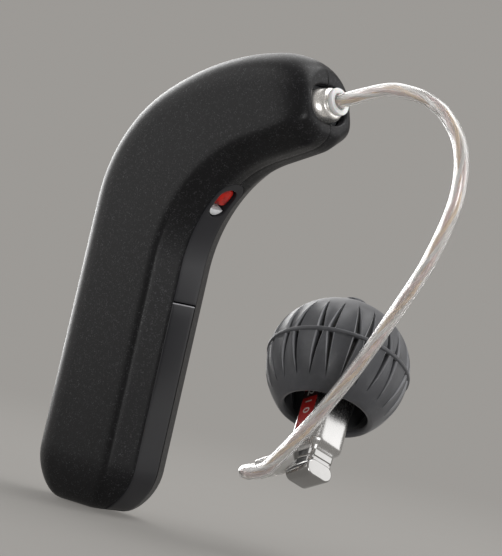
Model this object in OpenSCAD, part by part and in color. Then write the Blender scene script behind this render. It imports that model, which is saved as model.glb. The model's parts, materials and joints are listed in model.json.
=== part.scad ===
// Behind-the-ear hearing aid with a receiver in the canal.
// The origin lies on the concave front of the bend, where the case rests on the ear.
// +Z runs up the straight part of the case, +X points forwards, -Y is the side seen in front.

/* [Case] */
// Thickness across the two sides
body_t = 6.36; // [5.8:0.02:7]
// Depth from the round spine to the front strip, on the straight part
body_depth = 9.88; // [9.4:0.05:10.4]
// Height of the strip face in front of the side creases
facet_depth = 1.2; // [1:0.05:1.4]
// Radius of the side crease round the ear
crease_r = 10.6; // [9.8:0.1:12]
// Length of the straight part below the bend
leg_len = 18.33; // [17.4:0.01:19]
// Length of the arm past the bend
arm_len = 5.35; // [4.8:0.05:5.9]
// Wall thickness of the case halves
wall_t = 0.6; // [0.5:0.02:0.7]
// Rounding of the side creases
crease_round = 0.7; // [0.4:0.05:0.9]
// Radius that the spine's bend has beyond its share of the crease's
spine_base = 0.732; // [0.4:0.002:1.1]
// Radius of the spine over the arm
arm_r = 17; // [15.5:0.1:19]
// Height of the rounded lower end
foot_h = 3.2; // [2.6:0.1:3.6]
// Inset of the rounded lower end
foot_inset = 1.7; // [1.4:0.05:1.8]
// Bulge of the underside
foot_crown = 0.6; // [0.4:0.05:0.8]
// Lean of the spine towards the foot
spine_lean = 0.15; // [0:0.05:0.3]
// Height of the rounding at the tip
tip_h = 2.2; // [1.8:0.1:2.6]
// Inset of the rounding at the tip
tip_inset = 1.1; // [0.9:0.05:1.2]
// Gap between the two case halves
seam_gap = 0.1; // [0.08:0.01:0.14]
// Width of the opening for the plug
mouth_w = 3.8; // [3.7:0.05:4]
// Height of the opening for the plug
mouth_h = 2.9; // [2.8:0.05:3.1]
// Offset of the plug's opening towards the front of the case
mouth_shift = 0.27; // [0:0.01:0.5]
// Width of the microphone ports
port_w = 0.6; // [0.5:0.05:0.8]
// Length of the microphone ports
port_len = 1.4; // [1.2:0.1:1.8]

/* [Front strip and button] */
// Width of the front strip and the button
strip_w = 2.4; // [2.2:0.05:2.6]
// Thickness of the front strip and the button
strip_t = 0.8; // [0.7:0.05:0.9]
// Gap along the sides of the strip
strip_gap = 0.04; // [0.03:0.01:0.08]
// Distance from the start of the bend down to the button's top end
button_drop = 2.73; // [2.2:0.01:3.5]
// Gap across the split line
split_gap = 0.12; // [0.1:0.01:0.2]
// Radius of the button's hinge pin
pin_r = 0.3; // [0.25:0.01:0.35]
// Length of the hinge pin
pin_len = 3.1; // [3:0.02:3.2]
// Distance of the hinge pin below the split line
pin_drop = 0.8; // [0.7:0.05:0.9]
// Depth of the hinge pin behind the strip face
pin_depth = 1.6; // [1.5:0.02:1.7]
// Length of the window in the strip
window_len = 2.6; // [2.3:0.05:2.8]
// Width of the window in the strip
window_w = 1.6; // [1.4:0.05:1.7]
// Length of the side marker
marker_len = 1.4; // [1.2:0.05:1.5]
// Width of the side marker
marker_w = 1.25; // [1.1:0.05:1.35]

/* [Power] */
// Radius of the battery cell
cell_r = 2.25; // [2.1:0.01:2.3]
// Length of the straight part that the battery cell leaves free
cell_spare = 7.73; // [7.6:0.01:8.3]
// Outer radius of the charging coil
coil_r = 1.9; // [1.8:0.05:2]
// Width of the charging coil's winding
coil_w = 0.8; // [0.6:0.05:0.9]
// Thickness of the charging coil
coil_t = 0.45; // [0.4:0.05:0.5]

/* [Electronics] */
// Thickness of the circuit board
board_t = 0.4; // [0.3:0.05:0.5]
// Depth of the circuit board from spine to front
board_w = 5.6; // [5.2:0.1:6]
// Height of the circuit board
board_len = 8; // [7.6:0.1:8.2]
// Side of the processor chip
chip_w = 3.4; // [3:0.1:3.6]
// Thickness of the chips
chip_t = 0.7; // [0.6:0.05:0.8]
// Length of a microphone
mic_len = 2.6; // [2.4:0.05:2.8]
// Width of a microphone
mic_w = 2; // [1.8:0.05:2.2]
// Height of a microphone
mic_h = 0.9; // [0.8:0.05:1]

/* [Plug and tube] */
// Width of the plug
plug_w = 3.2; // [3.1:0.02:3.3]
// Height of the plug
plug_h = 2.3; // [2.2:0.02:2.4]
// Depth of the plug in its socket
plug_len = 3; // [2.8:0.05:3.2]
// Gap round the plug in its socket
plug_gap = 0.05; // [0.04:0.01:0.08]
// Radius of the white ring on the plug
ring_r = 1; // [0.95:0.01:1.05]
// Diameter of the receiver tube
tube_d = 1; // [0.95:0.01:1.05]
// Wall of the receiver tube
tube_wall = 0.11; // [0.1:0.005:0.12]
// Diameter of a conductor in the tube
strand_d = 0.26; // [0.24:0.01:0.28]
// Length of one full turn of the conductors
strand_pitch = 6.4; // [6:0.1:7]
// Forward reach of the tube's loop from the plug
loop_w = 11.55; // [11.3:0.05:11.8]
// Drop of the tube's loop from the plug
loop_h = 27.1; // [26.8:0.05:27.4]

/* [Receiver] */
// Depth of the receiver housing across its label
receiver_w = 3.2; // [3:0.05:3.3]
// Width of the receiver housing along its label
receiver_t = 3.15; // [3:0.05:3.3]
// Corner radius of the receiver housing
receiver_round = 1; // [0.9:0.05:1.1]
// Length of the receiver housing above its shoulder
receiver_len = 6.7; // [6.5:0.1:6.9]
// Wall of the receiver housing
receiver_wall = 0.18; // [0.15:0.01:0.2]
// Length of the end block
block_len = 2.5; // [2.4:0.05:2.6]
// Width of the end block
block_w = 2.3; // [2.2:0.05:2.4]
// Height of the end block
block_h = 1.25; // [1.2:0.05:1.3]
// Radius of the boot at the receiver
boot_r1 = 0.9; // [0.85:0.01:0.95]
// Radius of the boot where the tube enters
boot_r2 = 0.7; // [0.68:0.01:0.74]
// Outer radius of the sound spout
spout_r = 1.15; // [1.1:0.01:1.2]
// Length of the sound spout
spout_len = 2.7; // [2.6:0.05:2.8]

/* [Dome] */
// Outer diameter over the dome's rib
dome_d = 10.54; // [10:0.02:11]
// Height of the dome above its rib
dome_top = 4.8; // [4.7:0.02:5]
// Height of the dome's lower half, if it were closed
dome_drop = 5.4; // [5.2:0.05:5.6]
// Radius of the lip round the dome's mouth
lip_r = 0.26; // [0.22:0.01:0.3]
// Wall of the dome
dome_wall = 0.5; // [0.45:0.01:0.55]
// Depth of the grooves
groove_depth = 0.45; // [0.35:0.01:0.48]
// Number of groove pairs round the dome
groove_pairs = 12; // [9:1:13]
// Angle of the first pair of grooves about the dome's axis
groove_turn = 8.6; // [0:0.2:30]
// Radius of the sound outlet
outlet_r = 0.55; // [0.5:0.01:0.6]
// Radius of the boss round the sound outlet
boss_r = 0.95; // [0.9:0.01:1]

/* [Hidden] */
$fn = 32;

// Angles of the bend, from straight up towards the front
bend_angle = 66;
tip_angle = 70;
rest_angle = 32;
spine_turn = 55;

half_t = body_t / 2;
seam_half = seam_gap / 2;
strip_half = strip_w / 2;
edge_half = strip_half + strip_gap;
spine_to_crease = body_depth - facet_depth - half_t;
overrun = 0.2;

// The crease line starts at the foot, runs up, round the ear and along the arm
rest_r = crease_r - facet_depth;
bend_x = rest_r * cos(rest_angle);
bend_z = -rest_r * sin(rest_angle);
crease_x = bend_x - crease_r;
spine_x = crease_x - spine_to_crease;
foot_z = bend_z - leg_len;
bend_len = crease_r * bend_angle * PI / 180;
spine_follow_share = 0.78;
spine_r = spine_base + crease_r * spine_follow_share;
crease_len = bend_len + arm_len;

// One step along a straight, where r is 0, or an arc of radius r: x, z and heading
function step(p, r, s) = r == 0
    ? [p[0] + s * sin(p[2]), p[1] + s * cos(p[2]), p[2]]
    : let (g = p[2] + s / r * 180 / PI)
        [p[0] + r * (cos(p[2]) - cos(g)), p[1] + r * (sin(g) - sin(p[2])), g];
function walk(p, segs, s, i = 0) = (s <= segs[i][0] || i == len(segs) - 1)
    ? step(p, segs[i][1], s)
    : walk(step(p, segs[i][1], segs[i][0]), segs, s - segs[i][0], i + 1);

// The spine line turns later than the crease line, and then more gently
spine_lead_share = 0.32;
spine_lead = crease_r * spine_lead_share;
spine_bend_len = spine_r * spine_turn * PI / 180;
crease_segs = [[bend_len, crease_r], [arm_len, 0]];
crease_end = walk([crease_x, bend_z, 0], crease_segs, crease_len);
tip_dir = [sin(tip_angle), cos(tip_angle)];
tip_reach = crease_end[0] * tip_dir[0] + crease_end[1] * tip_dir[1];
spine_corner = walk([spine_x, bend_z + spine_lead, 0], [[spine_bend_len, spine_r]], spine_bend_len);
arm_centre = [spine_corner[0] + arm_r * cos(spine_turn), spine_corner[1] - arm_r * sin(spine_turn)];
arm_heading = tip_angle
    + asin((tip_reach - arm_centre[0] * tip_dir[0] - arm_centre[1] * tip_dir[1]) / arm_r);
arm_arc_len = arm_r * (arm_heading - spine_turn) * PI / 180;
spine_segs = [[spine_lead, 0], [spine_bend_len, spine_r], [arm_arc_len, arm_r]];
spine_len = spine_lead + spine_bend_len + arm_arc_len;

// A station holds the spine point and the crease point of a section.
// s is the length along the crease from the start of the bend, negative on the leg.
function station(s) = s <= 0
    ? [[spine_x + spine_lean * s / leg_len, bend_z + s], [crease_x, bend_z + s]]
    : let (c = walk([crease_x, bend_z, 0], crease_segs, s),
           d = walk([spine_x, bend_z, 0], spine_segs, s * spine_len / crease_len))
        [[d[0], d[1]], [c[0], c[1]]];
function heading(s) = s <= 0 ? 0 : walk([crease_x, bend_z, 0], crease_segs, s)[2];

// Rows of the case: place along the crease and how far round an end they are, in degrees
foot_turns = [90, 72, 54, 36, 18];
strip_end_share = 0.755;
strip_end = crease_r * strip_end_share;
port_rear_share = 0.3;
port_rear = crease_len * port_rear_share;
port_front_share = 0.72;
port_front = crease_len * port_front_share;
port_taper_share = 0.4;
port_taper = port_w * port_taper_share;
function port_rows(p) = [for (d = [-1, 1]) for (e = (d < 0 ? [1, 0] : [0, 1]))
    p + d * (port_len / 2 + e * port_taper)];
end_turns = [0, 25, 48, 66, 80, 90];
belly_scale = rest_r / crease_r;
edge_run = edge_half / belly_scale;
end_rows = [for (a = end_turns) strip_end - edge_run + edge_run * sin(a)];
leg_rows = [for (k = [0:3]) -(leg_len - foot_h) * (1 - k / 4)];
bend_rows = [for (k = [0:2]) (strip_end - edge_run) * k / 3];
arm_steps = 6;
arm_top = crease_len - tip_h;
arm_rows = [for (k = [1:arm_steps]) strip_end + (arm_top - strip_end) * k / arm_steps];
function sorted(v) = len(v) < 2 ? v : let (m = v[floor(len(v) / 2)])
    concat(sorted([for (x = v) if (x < m) x]), [for (x = v) if (x == m) x],
        sorted([for (x = v) if (x > m) x]));
near_row_share = 0.35;
near_row = port_w * near_row_share;
fixed_rows = concat(leg_rows, end_rows, port_rows(port_rear), port_rows(port_front), [arm_top]);
free_rows = [for (r = concat(bend_rows, [for (k = [1:arm_steps - 1]) arm_rows[k - 1]]))
    if (min([for (f = fixed_rows) abs(f - r)]) > near_row) r];
plain_rows = sorted(concat(fixed_rows, free_rows));
tip_turns = [18, 36, 54, 72, 90];
case_rows = concat([for (a = foot_turns) [-1, a]], [for (s = plain_rows) [0, s]],
    [for (a = tip_turns) [1, a]]);

// Inset and place of a row, for a skin that lies w inside the outer face
function row_s(r, w) = r[0] < 0 ? -leg_len + w + (foot_h - w) * (1 - sin(r[1]))
    : r[0] > 0 ? crease_len - w - (tip_h - w) * (1 - sin(r[1])) : r[1];
function row_inset(r, w) = r[0] < 0 ? w + (foot_inset - w) * (1 - cos(r[1]))
    : r[0] > 0 ? w + (tip_inset - w) * (1 - cos(r[1])) : w;

// Half width of the cut that the strip fills, and of the ports on the spine
function strip_edge(s) = s < strip_end - edge_run ? edge_half
    : s < strip_end ? max(seam_half, sqrt(max(0,
        edge_half ^ 2 - ((s - strip_end + edge_run) * belly_scale) ^ 2)))
    : seam_half;
function port_edge(s) = let (d = min(abs(s - port_rear), abs(s - port_front)) - port_len / 2)
    seam_half + (port_w / 2 - seam_half) * (1 - min(1, max(0, d / port_taper)));

// Front surface of a section at height y from the mid-plane
facet_run = half_t - strip_half;
facet_cos = facet_run / norm([facet_run, facet_depth]);
facet_sin = facet_depth / norm([facet_run, facet_depth]);
function front_at(len, inset, y) = min(len + facet_depth - inset,
    (len * facet_cos + (half_t - y) * facet_sin - inset) / facet_cos);
function crease_at(len, inset) = len - inset * (1 - facet_sin) / facet_cos;

crease_front_share = 0.45;
spine_steps = 8;
crease_steps = 3;
front_steps = 3;
// Half outline of one section, from the spine seam round to the strip: depth and height
function half_outline(len, inset, y0, y1) =
    let (r = half_t - inset, a0 = asin(y0 / r), pc = crease_at(len, inset),
         yc = r - crease_round * crease_front_share, c0 = [pc - crease_round, r],
         c1 = [pc, r], c2 = [front_at(len, inset, yc), yc])
    concat(
        [for (k = [0:spine_steps]) let (a = a0 + (90 - a0) * k / spine_steps)
            [-r * cos(a), r * sin(a)]],
        [for (k = [0:crease_steps]) let (t = k / crease_steps)
            (1 - t) ^ 2 * c0 + 2 * t * (1 - t) * c1 + t ^ 2 * c2],
        [for (k = [1:front_steps]) let (y = yc + (y1 - yc) * k / front_steps)
            [front_at(len, inset, y), y]]);

function place(st, q, side) = let (v = st[1] - st[0], e = v / norm(v))
    [st[0][0] + e[0] * q[0], side * q[1], st[0][1] + e[1] * q[0]];
foot_tuck_share = 0.22;
// Rows of the foot also draw in towards the middle of their section
function tucked(r, st, q) = let (m = (norm(st[1] - st[0]) + facet_depth - half_t) / 2,
    k = r[0] < 0 ? 1 - foot_tuck_share * (1 - cos(r[1])) : 1) [m + (q[0] - m) * k, q[1]];
function row_outline(r, w) = let (s = row_s(r, w), st = station(s))
    [for (q = half_outline(norm(st[1] - st[0]), row_inset(r, w), port_edge(s),
        strip_edge(s))) tucked(r, st, q)];
function row_points(r, w, side) = let (st = station(row_s(r, w)))
    [for (q = row_outline(r, w)) place(st, q, side)];

// The flat of the foot closes on the mid-plane, and the tip closes on the plug's mouth
foot_close_share = 0.94;
function foot_points(w, side) =
    let (r = case_rows[0], st = station(row_s(r, w)), o = row_outline(r, w),
         m = (o[0][0] + o[len(o) - 1][0]) / 2, half = (o[len(o) - 1][0] - o[0][0]) / 2)
    [for (q = o) let (p = q[0] - m)
        place(st, [m + p * foot_close_share, seam_half], side)
            - [0, 0, foot_crown * (1 - (p / half) ^ 2)]];
mouth_power = 0.8;
axis_dir = [tip_dir[0], 0, tip_dir[1]];
function mouth_points(w, side) =
    let (st = station(crease_len), o = row_outline(case_rows[len(case_rows) - 1], w))
    [for (q = o) let (a = atan2(q[1], -q[0]))
        place(st, [mouth_shift - mouth_h / 2 * sign(cos(a)) * abs(cos(a)) ^ mouth_power,
            max(seam_half, mouth_w / 2 * sin(a) ^ mouth_power)], side) - w * axis_dir];

// One half of the case: outer skin, inner skin and the rim between them
function skin(w, side) = concat([foot_points(w, side)],
    [for (r = case_rows) row_points(r, w, side)], [mouth_points(w, side)]);
function flat(v) = [for (a = v) for (b = a) b];
function quad(a, b, c, d, flip) = flip ? [[a, c, b], [a, d, c]] : [[a, b, c], [a, c, d]];
module half_case(side) {
    outer = skin(0, side);
    inner = skin(wall_t, side);
    rows = len(outer);
    cols = len(outer[0]);
    total = rows * cols;
    flip = side < 0;
    sheets = flat([for (i = [0:rows - 2]) for (j = [0:cols - 2])
        let (a = i * cols + j, b = a + 1, c = a + cols + 1, d = a + cols)
        concat(quad(a, b, c, d, flip), quad(total + a, total + b, total + c, total + d, !flip))]);
    sides = flat([for (i = [0:rows - 2]) let (a = i * cols, b = a + cols, e = cols - 1)
        concat(quad(a, b, total + b, total + a, flip),
            quad(a + e, b + e, total + b + e, total + a + e, !flip))]);
    ends = flat([for (j = [0:cols - 2]) let (a = j, e = (rows - 1) * cols + j)
        concat(quad(a, a + 1, total + a + 1, total + a, !flip),
            quad(e, e + 1, total + e + 1, total + e, flip))]);
    polyhedron(concat(flat(outer), flat(inner)), concat(ends, sides, sheets));
}

module near_shell() {
    color("#1d1d20") half_case(-1);
}

module far_shell() {
    color("#1d1d20") half_case(1);
}

// A band that follows the case: outline between two depths, extruded across the case
function belly(r, w) = let (s = row_s(r, w), st = station(s))
    place(st, tucked(r, st, [norm(st[1] - st[0]) + facet_depth - row_inset(r, w), 0]), 1);
function back(r, w) = let (s = row_s(r, w), st = station(s))
    place(st, tucked(r, st, [-half_t + row_inset(r, w), 0]), 1);
function side_view(v) = [for (p = v) [p[0], p[2]]];
function reversed(v) = [for (i = [len(v) - 1:-1:0]) v[i]];
module across(width, points) {
    rotate([90, 0, 0])
        linear_extrude(height = width, center = true)
            polygon(points);
}
// Places a child w below the strip face: local Z runs up the strip, local X points outwards
module on_belly(s, w = 0) {
    translate(belly([0, s], 0))
        rotate([0, heading(s), 0])
            translate([-w, 0, 0])
                children();
}
// A point w inside the inner face of the spine, and the direction of the spine there
function spine_heading(s) = let (a = back([0, s - overrun], 0), b = back([0, s + overrun], 0))
    atan2(b[0] - a[0], b[2] - a[2]);
function under_spine(s, w) = let (h = spine_heading(s))
    back([0, s], wall_t) + w * [cos(h), 0, -sin(h)];
function between(a, b, n) = [for (k = [0:n]) a + (b - a) * k / n];

// The seal lies in the seam behind the walls, over the spine and the foot
seal_reach = crease_len - tip_h;
seal_rows = concat([for (a = foot_turns) [-1, a]], [for (s = between(foot_h - leg_len, 0, 2)) [0, s]],
    [for (s = between(0, seal_reach, 12)) if (s > 0) [0, s]]);
module seam_seal() {
    seal_in = wall_t;
    color("#3a3a3e")
        difference() {
            across(seam_gap, side_view(concat([for (r = seal_rows) back(r, 0)],
                reversed([for (r = seal_rows) back(r, seal_in)]))));
            for (p = [port_rear, port_front]) {
                q = back([0, p], wall_t / 2);
                half = port_len / 2 + port_taper;
                translate(q)
                    rotate([0, heading(p), 0])
                        cube([body_t, body_t, 2 * half], center = true);
            }
        }
}

window_angle = 31.6;
window_s = crease_r * window_angle * PI / 180;
split_s = -button_drop;
strip_rows = [for (s = between(split_s + split_gap, strip_end, 12)) [0, s]];

// A prism with round ends along local X, centred, its long side along local Z
module pill(width, length, depth) {
    run = length - width;
    cube([depth, width, run], center = true);
    for (e = [-1, 1])
        translate([0, 0, e * run / 2])
            rotate([0, 90, 0])
                cylinder(h = depth, d = width, center = true);
}

module front_strip() {
    crown_s = strip_end - edge_run;
    color("#2c2c30")
        difference() {
            intersection() {
                across(strip_w, side_view(concat([for (r = strip_rows) belly(r, 0)],
                    reversed([for (r = strip_rows) belly(r, strip_t)]))));
                on_belly(crown_s)
                    union() {
                        rotate([0, 90, 0])
                            cylinder(h = body_t, r = strip_half, center = true);
                        translate([0, 0, -leg_len])
                            cube([4 * body_depth, strip_w, 2 * leg_len], center = true);
                    }
            }
            on_belly(window_s)
                pill(window_w, window_len, 4 * strip_t);
        }
}

// The button is the lower strip: it wraps the front of the foot and swings on its pin
button_turns = [80, 66, 50, 34, 18];
button_rows = concat([for (a = button_turns) [-1, a]],
    [for (s = between(foot_h - leg_len, split_s, 3)) [0, s]]);
pin_gap = 0.03;
lug_land = 0.27;
lug_r = pin_r + lug_land;
lug_w = 1.7;
post_r = 0.45;
post_gap = 0.24;
pin_s = split_s - pin_drop;
module push_button() {
    color("#2c2c30")
        difference() {
            union() {
                across(strip_w, side_view(concat([for (r = button_rows) belly(r, 0)],
                    reversed([for (r = button_rows) belly(r, strip_t)]))));
                on_belly(pin_s, pin_depth)
                    rotate([90, 0, 0])
                        cylinder(h = lug_w, r = lug_r, center = true);
                on_belly(pin_s, (pin_depth + strip_t) / 2)
                    cube([pin_depth - strip_t + overrun, lug_w, 2 * lug_r], center = true);
                translate([plunger_x + post_gap, 0, switch_z])
                    rotate([0, 90, 0])
                        cylinder(h = inner_front + overrun - plunger_x - post_gap, r = post_r);
            }
            on_belly(pin_s, pin_depth)
                rotate([90, 0, 0])
                    cylinder(h = body_t, r = pin_r + pin_gap, center = true);
        }
}

module button_pin() {
    color("silver")
        on_belly(pin_s, pin_depth)
            rotate([90, 0, 0])
                cylinder(h = pin_len, r = pin_r, center = true);
}

// The window holds the red marker above and the end of the light guide below
window_gap = 0.1;
marker_sink = 0.12;
marker_t = 0.98;
pane_w = window_w - 2 * window_gap;
pane_len = window_len - 2 * window_gap;
guide_h = window_len - marker_len - 3 * window_gap;
module side_marker() {
    color("red", 0.8)
        on_belly(window_s, marker_sink + marker_t / 2)
            intersection() {
                pill(pane_w, pane_len, marker_t);
                translate([0, 0, (pane_len - marker_len) / 2])
                    cube([marker_t, marker_w, marker_len], center = true);
            }
}

module light_guide() {
    color("white")
        on_belly(window_s, marker_sink + marker_t / 2)
            intersection() {
                pill(pane_w, pane_len, marker_t);
                translate([0, 0, (guide_h - pane_len) / 2])
                    cube([marker_t, pane_w, guide_h], center = true);
            }
}

light_w = 0.9;
light_t = 0.35;
module status_light() {
    color("#f2e9c0")
        on_belly(window_s, marker_sink + marker_t + light_t / 2)
            translate([0, 0, (light_w - pane_len) / 2])
                cube([light_t, light_w, light_w], center = true);
}

// Places inside the leg, measured from the spine line
inner_back = spine_x - half_t + wall_t;
inner_front = crease_x + facet_depth - strip_t;
frame_gap = 0.3;
rail_t = 0.5;
rail_w = 1.8;
deck_t = 0.5;
deck_w = 4.4;
cell_gap = 0.1;
cell_x = inner_back + frame_gap + rail_t + cell_gap + cell_r;
ferrite_t = 0.3;
coil_lift = 0.35;
coil_z = foot_z + wall_t + coil_lift;
ferrite_z = coil_z + coil_t;
cell_len = leg_len - cell_spare;
lower_deck_z = ferrite_z + ferrite_t;
cell_z = lower_deck_z + deck_t + cell_gap;
upper_deck_z = cell_z + cell_len + cell_gap;
board_z = upper_deck_z + deck_t;
top_deck_z = board_z + board_len;
rail_x = inner_back + frame_gap;
board_x = rail_x + rail_t;
deck_front = cell_x + cell_r + cell_gap;
shelf_t = 0.4;
shelf_w = 2;
shelf_rear_share = 0.14;
shelf_front_share = 0.8;
shelf_rows = between(shelf_rear_share * crease_len, shelf_front_share * crease_len, 12);
mic_drop = 0.55;
shelf_gap = 0.05;
shelf_in = mic_drop + mic_h + shelf_gap;
ear_t = 0.35;
ear_gap = 0.07;
ear_y = strip_half + ear_gap;
ear_land = 0.25;
ear_reach = pin_r + ear_land;
deck_trim = 0.2;
module deck(z, front, trim = 0) {
    intersection() {
        translate([rail_x, -deck_w / 2, z])
            cube([front - rail_x, deck_w, deck_t]);
        union() {
            translate([spine_x, 0, z])
                cylinder(h = deck_t, r = spine_x - rail_x - trim);
            translate([spine_x, -deck_w / 2, z])
                cube([front - spine_x, deck_w, deck_t]);
        }
    }
}
module chassis_frame() {
    pin_at = belly([0, pin_s], 0) - [pin_depth, 0, 0];
    color("#55585e")
        difference() {
            union() {
                translate([rail_x, -rail_w / 2, lower_deck_z + deck_t / 2])
                    cube([rail_t, rail_w, top_deck_z + deck_t / 2 - lower_deck_z]);
                deck(lower_deck_z, deck_front, deck_trim);
                deck(upper_deck_z, deck_front);
                deck(top_deck_z, board_x + board_w);
                across(shelf_w, side_view(concat([for (s = shelf_rows) under_spine(s, shelf_in)],
                    reversed([for (s = shelf_rows) under_spine(s, shelf_in + shelf_t)]))));
                for (y = [-ear_y - ear_t, ear_y])
                    translate([deck_front - ear_t, y, upper_deck_z])
                        cube([pin_at[0] + ear_reach - deck_front + ear_t, ear_t,
                            pin_at[2] + ear_reach - upper_deck_z]);
            }
            translate(pin_at)
                rotate([90, 0, 0])
                    cylinder(h = body_t, r = pin_r, center = true);
        }
}

module circuit_board() {
    color("darkgreen")
        translate([board_x, -board_t / 2, board_z])
            cube([board_w, board_t, board_len]);
}

board_margin = 0.5;
radio_w = 2.4;
power_w = 2;
module on_board(side, x, z, w, h) {
    translate([board_x + x, side > 0 ? board_t / 2 : -board_t / 2 - chip_t, board_z + z])
        cube([w, chip_t, h]);
}
module processor_chip() {
    color("#202225")
        on_board(-1, board_margin, board_margin, chip_w, chip_w);
}

module radio_chip() {
    color("#2b2d30")
        on_board(-1, board_margin, board_len - board_margin - radio_w, radio_w, radio_w);
}

module power_chip() {
    color("#2b2d30")
        on_board(1, board_margin, board_margin, power_w, power_w);
}

// The tactile switch sits on a flexible circuit between the cell and the button
flex_t = 0.12;
flex_w = 1.6;
switch_w = 1.8;
switch_h = 0.75;
plunger_h = 0.2;
plunger_r = 0.4;
switch_lift_share = 0.2;
flex_x = deck_front;
switch_z = cell_z + cell_len * switch_lift_share;
plunger_x = flex_x + flex_t + switch_h + plunger_h;
module flex_circuit() {
    color("#b06a1c")
        translate([flex_x, -flex_w / 2, switch_z - switch_w / 2])
            cube([flex_t, flex_w, upper_deck_z - switch_z + switch_w / 2]);
}

module tactile_switch() {
    color("gainsboro")
        translate([flex_x + flex_t, 0, switch_z]) {
            translate([switch_h / 2, 0, 0])
                cube([switch_h, switch_w, switch_w], center = true);
            translate([switch_h, 0, 0])
                rotate([0, 90, 0])
                    cylinder(h = plunger_h, r = plunger_r);
        }
}

module battery_cell() {
    color("#8fa0b5")
        translate([cell_x, 0, cell_z])
            cylinder(h = cell_len, r = cell_r);
}

tab_t = 0.1;
tab_w = 1.2;
module battery_tabs() {
    color("silver")
        for (z = [cell_z - cell_gap, cell_z + cell_len])
            translate([cell_x - tab_w / 2, -tab_w / 2, z])
                cube([tab_w, tab_w, tab_t]);
}

module charging_coil() {
    color("#b87333")
        translate([cell_x, 0, coil_z])
            difference() {
                cylinder(h = coil_t, r = coil_r);
                translate([0, 0, -overrun])
                    cylinder(h = coil_t + 2 * overrun, r = coil_r - coil_w);
            }
}

module coil_ferrite() {
    color("#3a3836")
        translate([cell_x, 0, ferrite_z])
            cylinder(h = ferrite_t, r = coil_r);
}

// The antenna lies inside the spine of the arm, between the two microphones
antenna_in = 0.2;
antenna_t = 0.15;
antenna_w = 1.6;
antenna_rows = between(port_rear + mic_len, port_front - mic_len, 5);
module antenna_band() {
    color("goldenrod")
        across(antenna_w, side_view(concat(
            [for (s = antenna_rows) under_spine(s, antenna_in)],
            reversed([for (s = antenna_rows) under_spine(s, antenna_in + antenna_t)]))));
}

// Microphones face their ports through thin screens
screen_t = 0.12;
screen_r = 0.8;
module under_port(s, w) {
    translate(under_spine(s, w))
        rotate([0, spine_heading(s), 0])
            children();
}
module microphone(s) {
    under_port(s, mic_drop + mic_h / 2)
        cube([mic_h, mic_w, mic_len], center = true);
}
module front_microphone() {
    color("#c9a94e") microphone(port_front);
}

module rear_microphone() {
    color("#c9a94e") microphone(port_rear);
}

module microphone_screens() {
    color("#6d7075")
        for (s = [port_rear, port_front])
            under_port(s, mic_drop - screen_t / 2)
                rotate([0, 90, 0])
                    cylinder(h = screen_t, r = screen_r, center = true);
}

// The tip frame: local Z leaves the mouth, local X points down, local Y across
tip_spine = station(crease_len)[0];
tip_at = [tip_spine[0] + mouth_shift * tip_dir[1], 0, tip_spine[1] - mouth_shift * tip_dir[0]];
module at_tip() {
    translate(tip_at)
        rotate([0, tip_angle, 0])
            children();
}
// A prism with round sides, its long side along local Y, standing on local Z = 0
module plug_form(width, height, length) {
    translate([-height / 2, -(width - height) / 2, 0])
        cube([height, width - height, length]);
    for (e = [-1, 1])
        translate([0, e * (width - height) / 2, 0])
            cylinder(h = length, d = height);
}

socket_wall = 0.3;
socket_floor = 0.5;
socket_drop = 0.8;
socket_base = -socket_drop - plug_len - socket_floor;
module socket_block() {
    color("#33363b")
        at_tip()
            translate([0, 0, socket_base])
                difference() {
                    plug_form(plug_w + 2 * (plug_gap + socket_wall),
                        plug_h + 2 * (plug_gap + socket_wall), plug_len + socket_floor);
                    translate([0, 0, socket_floor])
                        plug_form(plug_w + 2 * plug_gap, plug_h + 2 * plug_gap,
                            plug_len + overrun);
                }
}

contact_w = 0.35;
contact_t = 0.15;
contact_len = 0.9;
contact_step = 0.6;
contact_gap = 0.03;
contact_count = 3;
module contact_row(z, x) {
    for (k = [0:contact_count - 1])
        translate([x, (k - (contact_count - 1) / 2) * contact_step - contact_w / 2, z])
            cube([contact_t, contact_w, contact_len]);
}
module socket_contacts() {
    color("gold")
        at_tip()
            translate([0, 0, socket_base - contact_len])
                for (k = [0:contact_count - 1])
                    translate([-contact_w / 2, (k - (contact_count - 1) / 2) * contact_step
                        - contact_t / 2, 0])
                        cube([contact_w, contact_t, contact_len]);
}

// The plug ends in a cone that carries the white ring
plug_rise = 0.25;
cone_len = 0.35;
ring_t = 0.4;
tube_r = tube_d / 2;
tube_fit = 0.02;
tube_sunk = 1;
module plug_body() {
    color("#e8e8e6", 0.5)
        at_tip()
            difference() {
                union() {
                    translate([0, 0, -wall_t - plug_len + plug_gap])
                        plug_form(plug_w, plug_h, plug_len + wall_t - plug_gap + plug_rise);
                    translate([0, 0, plug_rise])
                        cylinder(h = cone_len, r1 = plug_h / 2, r2 = ring_r);
                }
                translate([0, 0, -tube_sunk])
                    cylinder(h = plug_len + body_t, r = tube_r + tube_fit);
                for (k = [0:contact_count - 1])
                    translate([-plug_h / 2 - contact_gap, (k - (contact_count - 1) / 2)
                        * contact_step - contact_w / 2, -wall_t - plug_len + contact_len])
                        cube([contact_t + contact_gap, contact_w, contact_len]);
            }
}

module plug_contacts() {
    color("gold")
        at_tip()
            contact_row(-wall_t - plug_len + contact_len, -plug_h / 2);
}

module plug_ring() {
    color("white")
        at_tip()
            translate([0, 0, plug_rise + cone_len])
                difference() {
                    cylinder(h = ring_t, r = ring_r);
                    translate([0, 0, -overrun])
                        cylinder(h = ring_t + 2 * overrun, r = tube_r + tube_fit);
                }
}

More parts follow.
